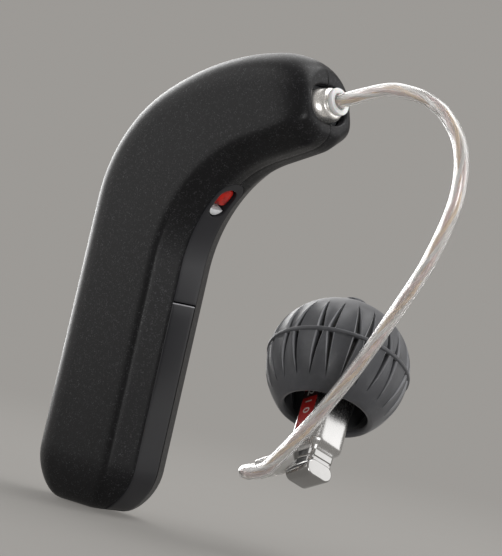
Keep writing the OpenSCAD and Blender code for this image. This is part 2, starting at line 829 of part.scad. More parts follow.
// Tube route from the plug's ring, as shares of the loop's reach, tube diameter and drop
bare_run = 0.4;
exit_z = plug_rise + cone_len + ring_t + bare_run;
exit_at = tip_at + exit_z * axis_dir;
route_shares = [
    [0.168, 0, 0.0245], [0.33, 0, 0.043], [0.453, 0, 0.044], [0.6, 0, 0.036],
    [0.743, 0, 0.0135], [0.848, 0, -0.02], [0.925, 0, -0.057], [0.972, 0, -0.1],
    [0.996, 0, -0.147], [1, 0, -0.202], [0.977, 0, -0.262], [0.935, 0, -0.326],
    [0.872, 0, -0.4], [0.72, 0, -0.531], [0.529, 0, -0.683], [0.31, 0, -0.827],
    [0.087, 0, -0.952], [0.01, -0.08, -0.983], [-0.08, -0.15, -0.997], [-0.155, 0.5, -0.9985],
    [-0.115, 1.25, -0.987], [-0.04, 1.6, -0.969], [0.07, 2.13, -0.9415]];
route = concat([tip_at - tube_sunk * axis_dir, exit_at],
    [for (s = route_shares) exit_at + [s[0] * loop_w, s[1] * tube_d, s[2] * loop_h]]);
function spline(a, b, c, d, t) = (2 * b + (c - a) * t + (2 * a - 5 * b + 4 * c - d) * t ^ 2
    + (3 * b - a - 3 * c + d) * t ^ 3) / 2;
function sampled(v, n) = let (m = len(v) - 1) concat(
    [for (i = [0:m - 1]) for (k = [0:n - 1])
        spline(v[max(0, i - 1)], v[i], v[i + 1], v[min(m, i + 2)], k / n)], [v[m]]);
function unit(v) = v / norm(v);
function tangents(v) = let (m = len(v) - 1)
    [for (i = [0:m]) unit(v[min(m, i + 1)] - v[max(0, i - 1)])];
// Frames that follow the route without twisting
function sides_of(t) = [for (i = 0, u = unit(cross(t[0], [0, 1, 0])); i < len(t); i = i + 1,
    u = i < len(t) ? unit(u - (u * t[i]) * t[i]) : u) u];
function lengths(v) = [for (i = 0, s = 0; i < len(v); i = i + 1,
    s = i < len(v) ? s + norm(v[i] - v[i - 1]) : s) s];
function ring(p, u, w, r, n, turn) = [for (k = [0:n - 1]) let (a = 360 * k / n + turn)
    p + r * (cos(a) * u + sin(a) * w)];
function tube_faces(rows, n) = flat(flat([for (i = [0:rows - 2]) [for (j = [0:n - 1])
    let (a = i * n + j, b = i * n + (j + 1) % n)
    [[a, a + n, b], [b, a + n, b + n]]]]));
function flipped(f) = [for (t = f) [t[0], t[2], t[1]]];
function moved(f, by) = [for (t = f) [for (k = t) k + by]];

tube_sides = 10;
tube_steps = 2;
module wire_jacket() {
    path = sampled(route, tube_steps);
    t = tangents(path);
    u = sides_of(t);
    rows = len(path);
    outer = flat([for (i = [0:rows - 1])
        ring(path[i], u[i], cross(t[i], u[i]), tube_r, tube_sides, 0)]);
    inner = flat([for (i = [0:rows - 1])
        ring(path[i], u[i], cross(t[i], u[i]), tube_r - tube_wall, tube_sides, 0)]);
    total = rows * tube_sides;
    walls = tube_faces(rows, tube_sides);
    caps = flat([for (j = [0:tube_sides - 1]) let (k = (j + 1) % tube_sides, e = total - tube_sides)
        concat(quad(j, k, total + k, total + j, false),
            quad(e + j, e + k, total + e + k, total + e + j, true))]);
    color("#dcdcd8", 0.45)
        polyhedron(concat(outer, inner), concat(walls, moved(flipped(walls), total), caps));
}

strand_sides = 4;
strand_steps = 4;
strand_ring_share = 0.52;
module strand(phase) {
    path = sampled(route, strand_steps);
    t = tangents(path);
    u = sides_of(t);
    run = lengths(path);
    orbit = (tube_r - tube_wall) * strand_ring_share;
    rows = len(path);
    points = flat([for (i = [0:rows - 1])
        let (w = cross(t[i], u[i]), a = 360 * run[i] / strand_pitch + phase,
             c = path[i] + orbit * (cos(a) * u[i] + sin(a) * w))
        ring(c, u[i], w, strand_d / 2, strand_sides, a)]);
    last = (rows - 1) * strand_sides;
    caps = concat([for (k = [1:strand_sides - 2]) [0, k, k + 1]],
        [for (k = [1:strand_sides - 2]) [last, last + k + 1, last + k]]);
    polyhedron(points, concat(tube_faces(rows, strand_sides), caps));
}

module copper_strand() {
    color("#c98b45") strand(0);
}

module red_strand() {
    color("#b4453f") strand(120);
}

module clear_strand() {
    color("#d8d8d4") strand(240);
}

// The receiver frame: local Z points into the canal, local X along the end block
receiver_shares = [0.22338, 2.045, -0.9631];
receiver_at = exit_at + [receiver_shares[0] * loop_w, receiver_shares[1] * tube_d,
    receiver_shares[2] * loop_h];
receiver_tilt = 29.07;
receiver_azimuth = 124.96;
receiver_roll = -140.44;
module at_receiver() {
    translate(receiver_at)
        rotate([0, receiver_tilt, receiver_azimuth])
            rotate([0, 0, receiver_roll])
                children();
}
// A prism with rounded corners standing on local Z = 0
module rounded_prism(x, y, r, h) {
    translate([-x / 2 + r, -y / 2, 0])
        cube([x - 2 * r, y, h]);
    translate([-x / 2, -y / 2 + r, 0])
        cube([x, y - 2 * r, h]);
    for (i = [-1, 1], j = [-1, 1])
        translate([i * (x / 2 - r), j * (y / 2 - r), 0])
            cylinder(h = h, r = r);
}

neck_x = 2.4;
neck_y = 2.1;
neck_round = 0.4;
neck_top = 1.35;
module receiver_end_block() {
    color("silver")
        at_receiver()
            union() {
                cube([block_len, block_w - block_h, block_h], center = true);
                for (e = [-1, 1])
                    translate([0, e * (block_w - block_h) / 2, 0])
                        rotate([0, 90, 0])
                            cylinder(h = block_len, d = block_h, center = true);
                rounded_prism(neck_x, neck_y, neck_round, neck_top);
            }
}

// The boot runs from the neck to the place where the tube enters it
boot_end = route[len(route) - 3];
boot_root = route[len(route) - 1];
boot_run = boot_root - boot_end;
boot_len = norm(boot_run);
boot_fit = 0.02;
boot_deep = 0.5;
module along_boot() {
    translate(boot_end)
        rotate([0, acos(boot_run[2] / boot_len), atan2(boot_run[1], boot_run[0])])
            children();
}
module receiver_boot() {
    color("#e4e4e0", 0.5)
        difference() {
            along_boot()
                cylinder(h = boot_len + boot_deep, r1 = boot_r2, r2 = boot_r1);
            along_boot()
                translate([0, 0, -overrun])
                    cylinder(h = boot_len + boot_deep + 2 * overrun, r = tube_r + tube_fit);
            at_receiver() {
                translate([0, 0, -block_h])
                    rounded_prism(neck_x + 2 * boot_fit, neck_y + 2 * boot_fit, neck_round,
                        block_h + neck_top);
                translate([0, 0, neck_top - boot_fit])
                    rounded_prism(receiver_w + 2 * boot_fit, receiver_t + 2 * boot_fit,
                        receiver_round, receiver_len);
                cube([block_len + 2 * boot_fit, block_w + 2 * boot_fit,
                    block_h + 2 * boot_fit], center = true);
            }
        }
}

shoulder_h = 0.75;
motor_gap = 0.12;
module receiver_housing() {
    inner_x = receiver_w - 2 * receiver_wall;
    inner_y = receiver_t - 2 * receiver_wall;
    color("gainsboro")
        at_receiver()
            translate([0, 0, neck_top])
                difference() {
                    union() {
                        hull() {
                            rounded_prism(neck_x, neck_y, neck_round, receiver_wall, $fn = 24);
                            translate([0, 0, shoulder_h - receiver_wall])
                                rounded_prism(receiver_w, receiver_t, receiver_round,
                                    receiver_wall, $fn = 24);
                        }
                        translate([0, 0, shoulder_h])
                            rounded_prism(receiver_w, receiver_t, receiver_round,
                                receiver_len);
                    }
                    translate([0, 0, shoulder_h + receiver_wall])
                        rounded_prism(inner_x, inner_y, receiver_round - receiver_wall,
                            receiver_len - 2 * receiver_wall);
                }
}

label_t = 0.08;
label_w = 1.4;
label_lift = 0.8;
label_end = 0.9;
label_len = receiver_len - label_lift - label_end;
module receiver_label() {
    color("firebrick")
        at_receiver()
            translate([0, -receiver_t / 2 - label_t / 2, neck_top + shoulder_h + label_lift
                + label_len / 2])
                cube([label_w, label_t, label_len], center = true);
}

module receiver_motor() {
    color("#9a9da2")
        at_receiver()
            translate([0, 0, neck_top + shoulder_h + receiver_wall])
                rounded_prism(receiver_w - 2 * receiver_wall - 2 * motor_gap,
                    receiver_t - 2 * receiver_wall - 2 * motor_gap,
                    receiver_round - receiver_wall, receiver_len - 2 * receiver_wall);
}

receiver_top = neck_top + shoulder_h + receiver_len;
spout_bore = 0.5;
guard_r = 0.78;
guard_len = 0.9;
guard_fit = 0.02;
module sound_spout() {
    color("#cfd2d4")
        at_receiver()
            translate([0, 0, receiver_top])
                difference() {
                    cylinder(h = spout_len, r = spout_r);
                    translate([0, 0, -overrun])
                        cylinder(h = spout_len + 2 * overrun, r = spout_bore);
                    translate([0, 0, spout_len - guard_len])
                        cylinder(h = guard_len + overrun, r = guard_r + guard_fit);
                }
}

guard_wall = 0.2;
guard_bar = 0.18;
module wax_guard() {
    color("white")
        at_receiver()
            translate([0, 0, receiver_top + spout_len - guard_len]) {
                difference() {
                    cylinder(h = guard_len, r = guard_r);
                    translate([0, 0, guard_bar])
                        cylinder(h = guard_len, r = guard_r - guard_wall);
                    translate([0, 0, -overrun])
                        cylinder(h = 2 * overrun + guard_bar, r = guard_r - 2 * guard_wall);
                }
                for (a = [0, 90])
                    rotate([0, 0, a])
                        translate([-guard_r + guard_wall / 2, -guard_bar / 2, guard_len - guard_bar])
                            cube([2 * guard_r - guard_wall, guard_bar, guard_bar]);
            }
}

// The dome sits on the spout; its own frame is centred on its rib
dome_seat = 0.05;
dome_lift = receiver_top + dome_seat;
module at_dome() {
    at_receiver()
        translate([0, 0, dome_lift])
            children();
}
spout_fit = 0.04;
core_wall = 0.35;
core_r = spout_r + spout_fit + core_wall;
skirt_gap = 0.35;
core_low = receiver_top + skirt_gap - dome_lift;
spout_top = receiver_top + spout_len - dome_lift;
boss_rise = 0.5;
boss_top = dome_top + boss_rise;
core_room = 1;
skin_seat = 0.02;
module dome_core() {
    color("#303236")
        at_dome()
            difference() {
                union() {
                    translate([0, 0, core_low])
                        cylinder(h = spout_top + core_room + core_wall - core_low, r = core_r);
                    translate([0, 0, spout_top + core_room])
                        cylinder(h = boss_top - spout_top - core_room, r = boss_r);
                }
                translate([0, 0, core_low - overrun])
                    cylinder(h = spout_top + core_room - core_low + overrun,
                        r = spout_r + spout_fit);
                cylinder(h = boss_top + overrun, r = outlet_r);
            }
}

// The skin is one closed profile turned round, with grooves in slanted pairs
dome_r = dome_d / 2;
rib_h = 0.13;
rib_proud = 0.12;
shell_r = dome_r - rib_proud;
groove_top = 36;
groove_at = 4.3;
groove_spread = 8.2;
groove_half = 3.2;
groove_close = 0.5;
function groove_share(lat) = max(0, 1 - abs(lat) / groove_top);
function meridian(lat) = [shell_r * cos(lat), (lat >= 0 ? dome_top : dome_drop) * sin(lat)];
lip_lat = -47;
lip_out = unit([cos(lip_lat) * dome_drop, sin(lip_lat) * shell_r]);
lip_mid = meridian(lip_lat) - lip_r * lip_out;
lip_turns = [-45, -90, -135, -180];
dome_lats_up = [78, 66, 54, 44, 36, 28, 20, 12, 5];
dome_lats_down = [-5, -12, -20, -28, -36, -43];
dome_lats_in = [-36, -24, -12, 0.1, 12, 24, 36, 50, 64];
rib_rows = [[dome_r - rib_proud, rib_h, 0], [dome_r, rib_h / 2, 0], [dome_r, -rib_h / 2, 0],
    [dome_r - rib_proud, -rib_h, 0]];
function lat_rows(v, in) = [for (a = v) let (m = meridian(a),
    k = 1 - in / norm(m)) [m[0] * k, m[1] * k, a]];
top_r = boss_r + skin_seat;
top_lat = 80;
seat_lat = 70;
skin_rows = concat([[top_r, dome_top * sin(top_lat), top_lat]], lat_rows(dome_lats_up, 0), rib_rows,
    lat_rows(dome_lats_down, 0), [[for (v = [meridian(lip_lat)]) each v, lip_lat]],
    [for (t = lip_turns) let (a = atan2(lip_out[1], lip_out[0]) + t)
        [lip_mid[0] + lip_r * cos(a), lip_mid[1] + lip_r * sin(a), lip_lat]],
    lat_rows(dome_lats_in, dome_wall),
    [[core_r + skin_seat, dome_top * sin(seat_lat) - dome_wall, top_lat],
     [top_r, dome_top * sin(top_lat) - dome_wall, top_lat]]);
function groove_columns(lat) =
    let (g = groove_share(lat), c = groove_at + (groove_spread - groove_at) * (1 - g),
         h = groove_close + (groove_half - groove_close) * g)
    [[-c - h, 0], [-c, 1], [-c + h, 0], [c - h, 0], [c, 1], [c + h, 0]];
function skin_ring(row) = flat([for (k = [0:groove_pairs - 1])
    [for (q = groove_columns(row[2]))
        let (a = groove_turn + 360 * k / groove_pairs + q[0],
             r = row[0] - (row[2] == 0 ? 0 : groove_depth * q[1] * sqrt(groove_share(row[2]))))
        [r * cos(a), r * sin(a), row[1]]]]);
module dome_skin() {
    rings = [for (r = skin_rows) skin_ring(r)];
    rows = len(rings);
    n = len(rings[0]);
    faces = flat([for (i = [0:rows - 1]) for (j = [0:n - 1])
        let (a = i * n + j, b = i * n + (j + 1) % n, c = ((i + 1) % rows) * n + (j + 1) % n,
             d = ((i + 1) % rows) * n + j)
        [[a, b, c], [a, c, d]]]);
    color("#3b3d42")
        at_dome()
            polyhedron(flat(rings), faces);
}

near_shell();
far_shell();
seam_seal();
front_strip();
push_button();
button_pin();
side_marker();
light_guide();
status_light();
chassis_frame();
circuit_board();
processor_chip();
radio_chip();
power_chip();
flex_circuit();
antenna_band();
tactile_switch();
battery_cell();
battery_tabs();
charging_coil();
coil_ferrite();
front_microphone();
rear_microphone();
microphone_screens();
socket_block();
socket_contacts();
plug_body();
plug_ring();
plug_contacts();
wire_jacket();
copper_strand();
red_strand();
clear_strand();
receiver_boot();
receiver_end_block();
receiver_housing();
receiver_label();
receiver_motor();
sound_spout();
wax_guard();
dome_skin();
dome_core();
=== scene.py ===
# Behind-the-ear hearing aid with a receiver in the canal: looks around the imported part.
import json
from math import asin, atan2, copysign, cos, dist, exp, hypot, pi, radians, sin, sqrt
import bpy
import bmesh
from mathutils import Matrix, Vector

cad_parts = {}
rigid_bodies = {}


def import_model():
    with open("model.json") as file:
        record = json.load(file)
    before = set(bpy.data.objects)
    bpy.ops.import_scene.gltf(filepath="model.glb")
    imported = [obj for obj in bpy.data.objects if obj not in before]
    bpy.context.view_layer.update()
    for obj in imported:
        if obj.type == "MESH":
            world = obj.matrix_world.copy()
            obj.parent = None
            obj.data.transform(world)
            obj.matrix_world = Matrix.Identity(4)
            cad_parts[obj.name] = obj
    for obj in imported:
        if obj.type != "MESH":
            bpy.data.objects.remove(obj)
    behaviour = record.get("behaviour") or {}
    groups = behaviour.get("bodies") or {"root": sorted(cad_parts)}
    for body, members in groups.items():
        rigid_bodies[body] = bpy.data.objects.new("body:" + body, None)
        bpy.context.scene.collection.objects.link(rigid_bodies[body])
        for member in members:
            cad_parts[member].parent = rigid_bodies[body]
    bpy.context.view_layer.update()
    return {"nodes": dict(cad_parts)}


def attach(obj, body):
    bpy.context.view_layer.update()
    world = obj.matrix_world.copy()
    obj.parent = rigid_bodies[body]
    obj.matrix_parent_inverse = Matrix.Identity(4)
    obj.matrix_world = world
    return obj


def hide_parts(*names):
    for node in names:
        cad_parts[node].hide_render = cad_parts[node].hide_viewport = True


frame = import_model()
nodes = frame["nodes"]
mm = 0.001
print("stage: frame loaded,", len(nodes), "parts")


def evenly(low, high, steps):  # from low to high, both included
    return [low + (high - low) * k / steps for k in range(steps + 1)]


# Shader nodes: Link wraps a socket so that sums can be written plainly
class Link:
    def __init__(self, tree, socket):
        self.tree = tree
        self.socket = socket

    def maths(self, operation, *values):
        return self.tree.node("ShaderNodeMath", {"operation": operation}, dict(enumerate(values)))

    def __add__(self, other):
        return self.maths("ADD", self, other)

    def __radd__(self, other):
        return self.maths("ADD", other, self)

    def __sub__(self, other):
        return self.maths("SUBTRACT", self, other)

    def __rsub__(self, other):
        return self.maths("SUBTRACT", other, self)

    def __mul__(self, other):
        return self.maths("MULTIPLY", self, other)

    def __rmul__(self, other):
        return self.maths("MULTIPLY", other, self)

    def __truediv__(self, other):
        return self.maths("DIVIDE", self, other)

    def __gt__(self, other):
        return self.maths("GREATER_THAN", self, other)

    def __lt__(self, other):
        return self.maths("LESS_THAN", self, other)

    def size(self):
        return self.maths("ABSOLUTE", self)

    def largest(self, other):
        return self.maths("MAXIMUM", self, other)

    def ease(self, low, high):
        return self.tree.node("ShaderNodeMapRange", {"interpolation_type": "SMOOTHSTEP"},
                              {"Value": self, "From Min": low, "From Max": high})


class Tree:
    def __init__(self, nodeTree):
        self.nodeTree = nodeTree
        nodeTree.nodes.clear()

    def node(self, kind, settings=None, sockets=None, output=0):
        made = self.nodeTree.nodes.new(kind)
        for key, value in (settings or {}).items():
            setattr(made, key, value)
        for key, value in (sockets or {}).items():
            self.join(value, made.inputs[key])
        return Link(self, made.outputs[output]) if len(made.outputs) else None

    def join(self, value, socket):
        if isinstance(value, Link):
            self.nodeTree.links.new(value.socket, socket)
        elif socket.type == "RGBA" and len(value) == 3:
            socket.default_value = (*value, 1)
        else:
            socket.default_value = value

    def vectors(self, operation, first, second, output=0, key=1):
        return self.node("ShaderNodeVectorMath", {"operation": operation}, {0: first, key: second}, output)

    def mixed(self, amount, first, second):
        return self.node("ShaderNodeMix", {"data_type": "RGBA"}, {0: amount, 6: first, 7: second}, 2)

    def millimetres(self, stretch=(1, 1, 1), turn=(0, 0, 0), centre=(0, 0, 0)):
        place = self.node("ShaderNodeTexCoord", output=3)
        moved = self.vectors("SUBTRACT", place, [c * mm for c in centre])
        return self.node("ShaderNodeMapping", {"vector_type": "POINT"},
                         {"Vector": moved, "Rotation": turn, "Scale": [s / mm for s in stretch]})

    def noise(self, place, size, detail=3):
        return self.node("ShaderNodeTexNoise", None, {"Vector": place, "Scale": 1 / size,
                                                      "Detail": detail, "Roughness": 0.55})

    def bump(self, height, depth, strength=1.0, under=None):
        sockets = {"Height": height, "Distance": depth * mm, "Strength": strength}
        if under is not None:
            sockets["Normal"] = under
        return self.node("ShaderNodeBump", None, sockets)


materials = {}
otherSlots = {"caseLacquer": "case_satin", "sealRubber": "seal_grey", "chassisNylon": "chassis_grey",
              "receiverPolished": "receiver_steel", "blockPolished": "receiver_steel",
              "labelInk": "label_red"}


# A finish starts from a soft change of colour, a fine grain and a bump; extras add the rest.
# Settings in capitals are the shader's own sockets; the slot's name is the finish's, unless listed above
def makeFinish(name, colour, roughness, extras=None, settings=None):
    look = {"spread": 0.12, "spreadSize": 2.5, "grain": 0.08, "grainDepth": 0.004,
            "stretch": (1, 1, 1), "turn": (0, 0, 0), "scratch": 0.05}
    look.update(settings or {})
    material = bpy.data.materials.new(name)
    material.use_nodes = True
    material.diffuse_color = (*colour, 1)
    tree = Tree(material.node_tree)
    place = tree.millimetres(look["stretch"], look["turn"])
    cloud = tree.noise(place, look["spreadSize"])
    grain = tree.noise(place, look["grain"], 2)
    darker = [c * (1 - look["spread"]) for c in colour]
    lighter = [min(1, c * (1 + look["spread"])) for c in colour]
    tint = tree.mixed(cloud.ease(0.3, 0.7), darker, lighter)
    tint = tree.mixed((grain - 0.5).size() * look["spread"] * 2, tint, lighter)
    rough = roughness + (cloud - 0.5) * look["scratch"] + (grain - 0.5) * look["scratch"]
    normal = tree.bump(grain, look["grainDepth"])
    sockets = {"Base Color": tint, "Roughness": rough, "Normal": normal}
    if extras:
        sockets.update(extras(tree, place, tint, rough, normal))
    sockets.update({key: value for key, value in look.items() if key[0].isupper()})
    shader = tree.node("ShaderNodeBsdfPrincipled", None, sockets)
    tree.node("ShaderNodeOutputMaterial", None, {"Surface": shader})
    slotName = "".join("_" + letter.lower() if letter.isupper() else letter for letter in name)
    materials[name] = (material, otherSlots.get(name, slotName))


# Satin lacquer: tiny flakes that catch the light, under a thin clear film
def lacquerFlakes(tree, place, tint, rough, normal):
    cells = tree.node("ShaderNodeTexVoronoi", {"feature": "F1"}, {"Vector": place, "Scale": 17.0}, 1)
    parts = tree.node("ShaderNodeSeparateColor", None, {"Color": cells})
    flake = parts > 0.86
    haze = tree.noise(place, 0.35, 2).ease(0.3, 0.75)
    shine = tree.mixed(flake * haze * 0.7, tint, (0.075, 0.075, 0.08))
    fine = tree.bump(parts, 0.0006, 0.5, normal)
    return {"Base Color": shine, "Roughness": rough - flake * 0.1, "Normal": fine}


# Satin strip: a painted highlight, a pale thin line along the button's top edge at the split line
def stripPaintedSplitHighlight(tree, place, tint, rough, normal):
    height = tree.node("ShaderNodeSeparateXYZ", None, {"Vector": tree.millimetres()}, 2)
    # painted highlight: a paler, slightly rougher band just below the split line
    paintedSplitHighlight = (height < bendZ + splitS + 0.01) * (height > bendZ + splitS - 0.085)
    scuffs = tree.noise(tree.millimetres((1, 1, 0.1)), 0.06, 2)
    return {"Base Color": tree.mixed(paintedSplitHighlight * 0.85, tint, (0.42, 0.42, 0.44)), "Roughness": rough + paintedSplitHighlight * 0.1,
            "Normal": tree.bump(scuffs, 0.0004, 0.4, normal)}


# Silicone: a faint bloom and dust in the grain
def siliconeBloom(tree, place, tint, rough, normal):
    bloom = tree.noise(place, 0.9, 4).ease(0.45, 0.8)
    dust = tree.noise(place, 0.05, 1).ease(0.72, 0.8)
    return {"Base Color": tree.mixed(bloom * 0.25 + dust * 0.12, tint, (0.15, 0.152, 0.16)),
            "Roughness": rough + bloom * 0.08}


# Dome silicone: bloom and dust, with painted shade on the slot floors and a painted highlight on their lips
def bloomDustAndPaintedSlotLight(tree, place, tint, rough, normal):
    # painted shade darkens the slot floors; the lip attribute carries a painted highlight that pales the slot
    # lips
    paintedSlotShade = tree.node("ShaderNodeAttribute", {"attribute_name": "paintedSlotShade"}, output=2)
    lip = tree.node("ShaderNodeAttribute", {"attribute_name": "lip"}, output=2)
    bloomed = siliconeBloom(tree, place, tint, rough, normal)
    lit = tree.mixed(lip.ease(0.1, 0.85), bloomed["Base Color"], (0.26, 0.262, 0.275))
    return {"Base Color": tree.mixed(paintedSlotShade.ease(0.45, 0.8), lit, (0.0035, 0.0035, 0.004)),
            "Roughness": bloomed["Roughness"]}


# Turned or drawn metal: fine lines along one direction
def drawnLines(tree, place, tint, rough, normal):
    lines = tree.noise(tree.millimetres((1, 1, 0.05)), 0.05, 2)
    return {"Roughness": rough + (lines - 0.5) * 0.15, "Normal": tree.bump(lines, 0.0015, 0.6, normal)}


def polishedMarks(tree, place, tint, rough, normal):
    marks = tree.noise(tree.millimetres((1, 1, 0.2)), 0.09, 3)
    return {"Roughness": rough + marks.ease(0.5, 0.85) * 0.1, "Normal": tree.bump(marks, 0.0008, 0.5)}


# Circuit board: traces and plated holes under the solder resist
def boardTraces(tree, place, tint, rough, normal):
    bricks = tree.node("ShaderNodeTexBrick", {"offset": 0.5}, {"Vector": tree.millimetres((1, 1, 1),
                       (radians(90), 0, 0)), "Scale": 1.0, "Mortar Size": 0.06,
                       "Brick Width": 0.9, "Row Height": 0.45}, 1)
    holes = tree.node("ShaderNodeTexVoronoi", {"feature": "F1"}, {"Vector": place, "Scale": 1.4}) < 0.16
    traced = tree.mixed(bricks * 0.6, tint, (0.08, 0.34, 0.14))
    return {"Base Color": tree.mixed(holes, traced, (0.8, 0.58, 0.25)), "Metallic": holes * 0.9,
            "Normal": tree.bump(bricks, 0.02, 0.5, normal)}


# Woven screen: two sets of crossing wires with dark holes
def wovenWires(tree, place, tint, rough, normal):
    heights = []
    for turn in (45, -45):
        waves = tree.millimetres((1, 1, 1), (0, 0, radians(turn)))
        heights.append(tree.node("ShaderNodeTexWave", {"wave_type": "BANDS", "bands_direction": "X"},
                                 {"Vector": waves, "Scale": 2.2, "Distortion": 0.0}, 1))
    weave = heights[0].largest(heights[1])
    return {"Base Color": tree.mixed(weave.ease(0.3, 0.7), (0.02, 0.02, 0.022), tint),
            "Normal": tree.bump(weave, 0.03, 1.0)}


# Wound wire: rings about the cell's axis
def woundTurns(tree, place, tint, rough, normal):
    axis = tree.millimetres(centre=coilCentre)
    rings = tree.node("ShaderNodeTexWave", {"wave_type": "RINGS", "rings_direction": "Z"},
                      {"Vector": axis, "Scale": 3.0, "Distortion": 0.0}, 1)
    return {"Base Color": tree.mixed(rings, [0.2, 0.08, 0.03], tint), "Normal": tree.bump(rings, 0.03)}


# Label film: a dark end band across it, seen along the receiver's own direction
def labelBand(tree, place, tint, rough, normal):
    along = tree.vectors("DOT_PRODUCT", tree.millimetres(), receiverAxis, 1)
    low, high = (receiverAxis.dot(receiverAt) + edge for edge in label["band"])
    band = (along > low) * (along < high)
    smear = tree.noise(place, 0.5, 3).ease(0.4, 0.8)
    return {"Base Color": tree.mixed(band + smear * 0.12, tint, (0.02, 0.008, 0.01)),
            "Roughness": rough + band * 0.2}


# Clear mouldings: slight flow lines, with a warm tint along them
def clearFlow(tree, place, tint, rough, normal):
    flow = tree.noise(tree.millimetres((1, 1, 0.35)), 0.45, 3)
    return {"Base Color": tree.mixed(flow.ease(0.35, 0.75) * 0.4, tint, (0.82, 0.79, 0.75)),
            "Normal": tree.bump(flow, 0.0015, 0.5, normal)}


def wiredLacquer(tree, place, tint, rough, normal):
    worn = tree.noise(place, 0.16, 3).ease(0.5, 0.8)
    return {"Base Color": tree.mixed(worn * 0.35, tint, (0.9, 0.85, 0.78)), "Roughness": rough + worn * 0.1}


def redGlow(tree, place, tint, rough, normal):
    deep = tree.noise(tree.millimetres((0.4, 1, 1.6)), 0.8, 2).ease(0.4, 0.62)
    return {"Base Color": tree.mixed(deep, (0.5, 0.016, 0.008), (0.14, 0.004, 0.004))}


# Shape of the case, by the part's own rules, in millimetres
case = {"thickness": 6.36, "depth": 9.88, "facetDepth": 1.2, "creaseRadius": 10.6, "leg": 18.33,
        "arm": 5.35, "wall": 0.6, "creaseRound": 0.7, "spineRadius": 9.0, "armRadius": 17.0,
        "footHeight": 3.2, "footInset": 1.7, "footCrown": 0.48, "spineLean": 0.15, "footTuck": 0.22,
        "tipHeight": 2.2, "tipInset": 1.1, "seamGap": 0.02, "mouthWidth": 3.8, "mouthHeight": 2.9,
        "mouthShift": 0.27, "mouthPower": 0.8, "portWidth": 0.6, "portLength": 1.4,
        "portShares": (0.3, 0.72), "portTaperShare": 0.4, "spineLeadShare": 0.32, "stripEndShare": 0.755,
        "creaseShare": 0.45, "rowStep": 0.35, "rowGap": 0.06, "backSteps": 24, "frontSteps": 8,
        "endRows": 7, "endTuck": 0.06, "lip": 0.16}
strip = {"width": 2.4, "thickness": 0.8, "gap": 0.04, "buttonLength": 15.6, "splitGap": 0.12,
         "windowAngle": 31.6, "windowLength": 2.6, "windowWidth": 1.6, "edge": 0.07,
         "rows": 48, "columns": 8, "tipAngles": (12, 24, 36, 48, 58, 68, 78, 86), "tipHalf": 0.08}

coilCentre = (-7.558, 0, 0)  # of the charging coil in the foot
bendAngle, tipAngle, restAngle, spineTurn = (radians(a) for a in (66, 70, 32, 55))
creaseRadius, facetDepth, leg = case["creaseRadius"], case["facetDepth"], case["leg"]
halfThick, seamHalf = case["thickness"] / 2, case["seamGap"] / 2
stripHalf = strip["width"] / 2
edgeHalf = stripHalf + strip["gap"]
spineToCrease = case["depth"] - facetDepth - halfThick
restRadius = creaseRadius - facetDepth
bendX, bendZ = restRadius * cos(restAngle), -restRadius * sin(restAngle)
creaseX = bendX - creaseRadius
spineX = creaseX - spineToCrease
bendLength = creaseRadius * bendAngle
creaseLength = bendLength + case["arm"]


def walk(start, pieces, run):  # one line of straights and arcs: x, z and heading
    x, z, turn = start
    for index, (length, radius) in enumerate(pieces):
        last = index == len(pieces) - 1 or run <= length
        here = run if last else length
        if radius == 0:
            x, z = x + here * sin(turn), z + here * cos(turn)
        else:
            after = turn + here / radius
            x, z = x + radius * (cos(turn) - cos(after)), z + radius * (sin(after) - sin(turn))
            turn = after
        if last:
            break
        run -= length
    return x, z, turn


spineLead = creaseRadius * case["spineLeadShare"]
spineBend = case["spineRadius"] * spineTurn
creasePieces = [(bendLength, creaseRadius), (case["arm"], 0)]
creaseEnd = walk((creaseX, bendZ, 0), creasePieces, creaseLength)
tipDir = (sin(tipAngle), cos(tipAngle))
tipReach = creaseEnd[0] * tipDir[0] + creaseEnd[1] * tipDir[1]
corner = walk((spineX, bendZ + spineLead, 0), [(spineBend, case["spineRadius"])], spineBend)
armCentre = (corner[0] + case["armRadius"] * cos(spineTurn), corner[1] - case["armRadius"] * sin(spineTurn))
armReach = tipReach - armCentre[0] * tipDir[0] - armCentre[1] * tipDir[1]
armTurn = tipAngle + asin(armReach / case["armRadius"])
armArc = case["armRadius"] * (armTurn - spineTurn)
spinePieces = [(spineLead, 0), (spineBend, case["spineRadius"]), (armArc, case["armRadius"])]
spineLength = spineLead + spineBend + armArc
stripEnd = creaseRadius * case["stripEndShare"]
bellyScale = restRadius / creaseRadius
edgeRun = edgeHalf / bellyScale
ports = [creaseLength * share for share in case["portShares"]]
portTaper = case["portWidth"] * case["portTaperShare"]


def station(s):
    if s <= 0:
        return (spineX + case["spineLean"] * s / leg, bendZ + s), (creaseX, bendZ + s)
    front = walk((creaseX, bendZ, 0), creasePieces, s)
    rear = walk((spineX, bendZ, 0), spinePieces, s * spineLength / creaseLength)
    return rear[:2], front[:2]


def heading(s):
    return 0 if s <= 0 else walk((creaseX, bendZ, 0), creasePieces, s)[2]


def rowPlace(row, wall):  # where a row lies along the case, and its inset there
    kind, value = row
    if kind == 0:
        return value, wall
    if kind < 0:
        return (-leg + wall + (case["footHeight"] - wall) * (1 - sin(value)),
                wall + (case["footInset"] - wall) * (1 - cos(value)))
    return (creaseLength - wall - (case["tipHeight"] - wall) * (1 - sin(value)),
            wall + (case["tipInset"] - wall) * (1 - cos(value)))


def stripEdge(s):
    if s < stripEnd - edgeRun:
        return edgeHalf
    if s < stripEnd:
        return max(seamHalf, sqrt(max(0, edgeHalf ** 2 - ((s - stripEnd + edgeRun) * bellyScale) ** 2)))
    return seamHalf


def portEdge(s):
    far = max(0, min(abs(s - p) for p in ports) - case["portLength"] / 2) / portTaper
    return max(seamHalf, case["portWidth"] / 2 * sqrt(max(0, 1 - far ** 2)))


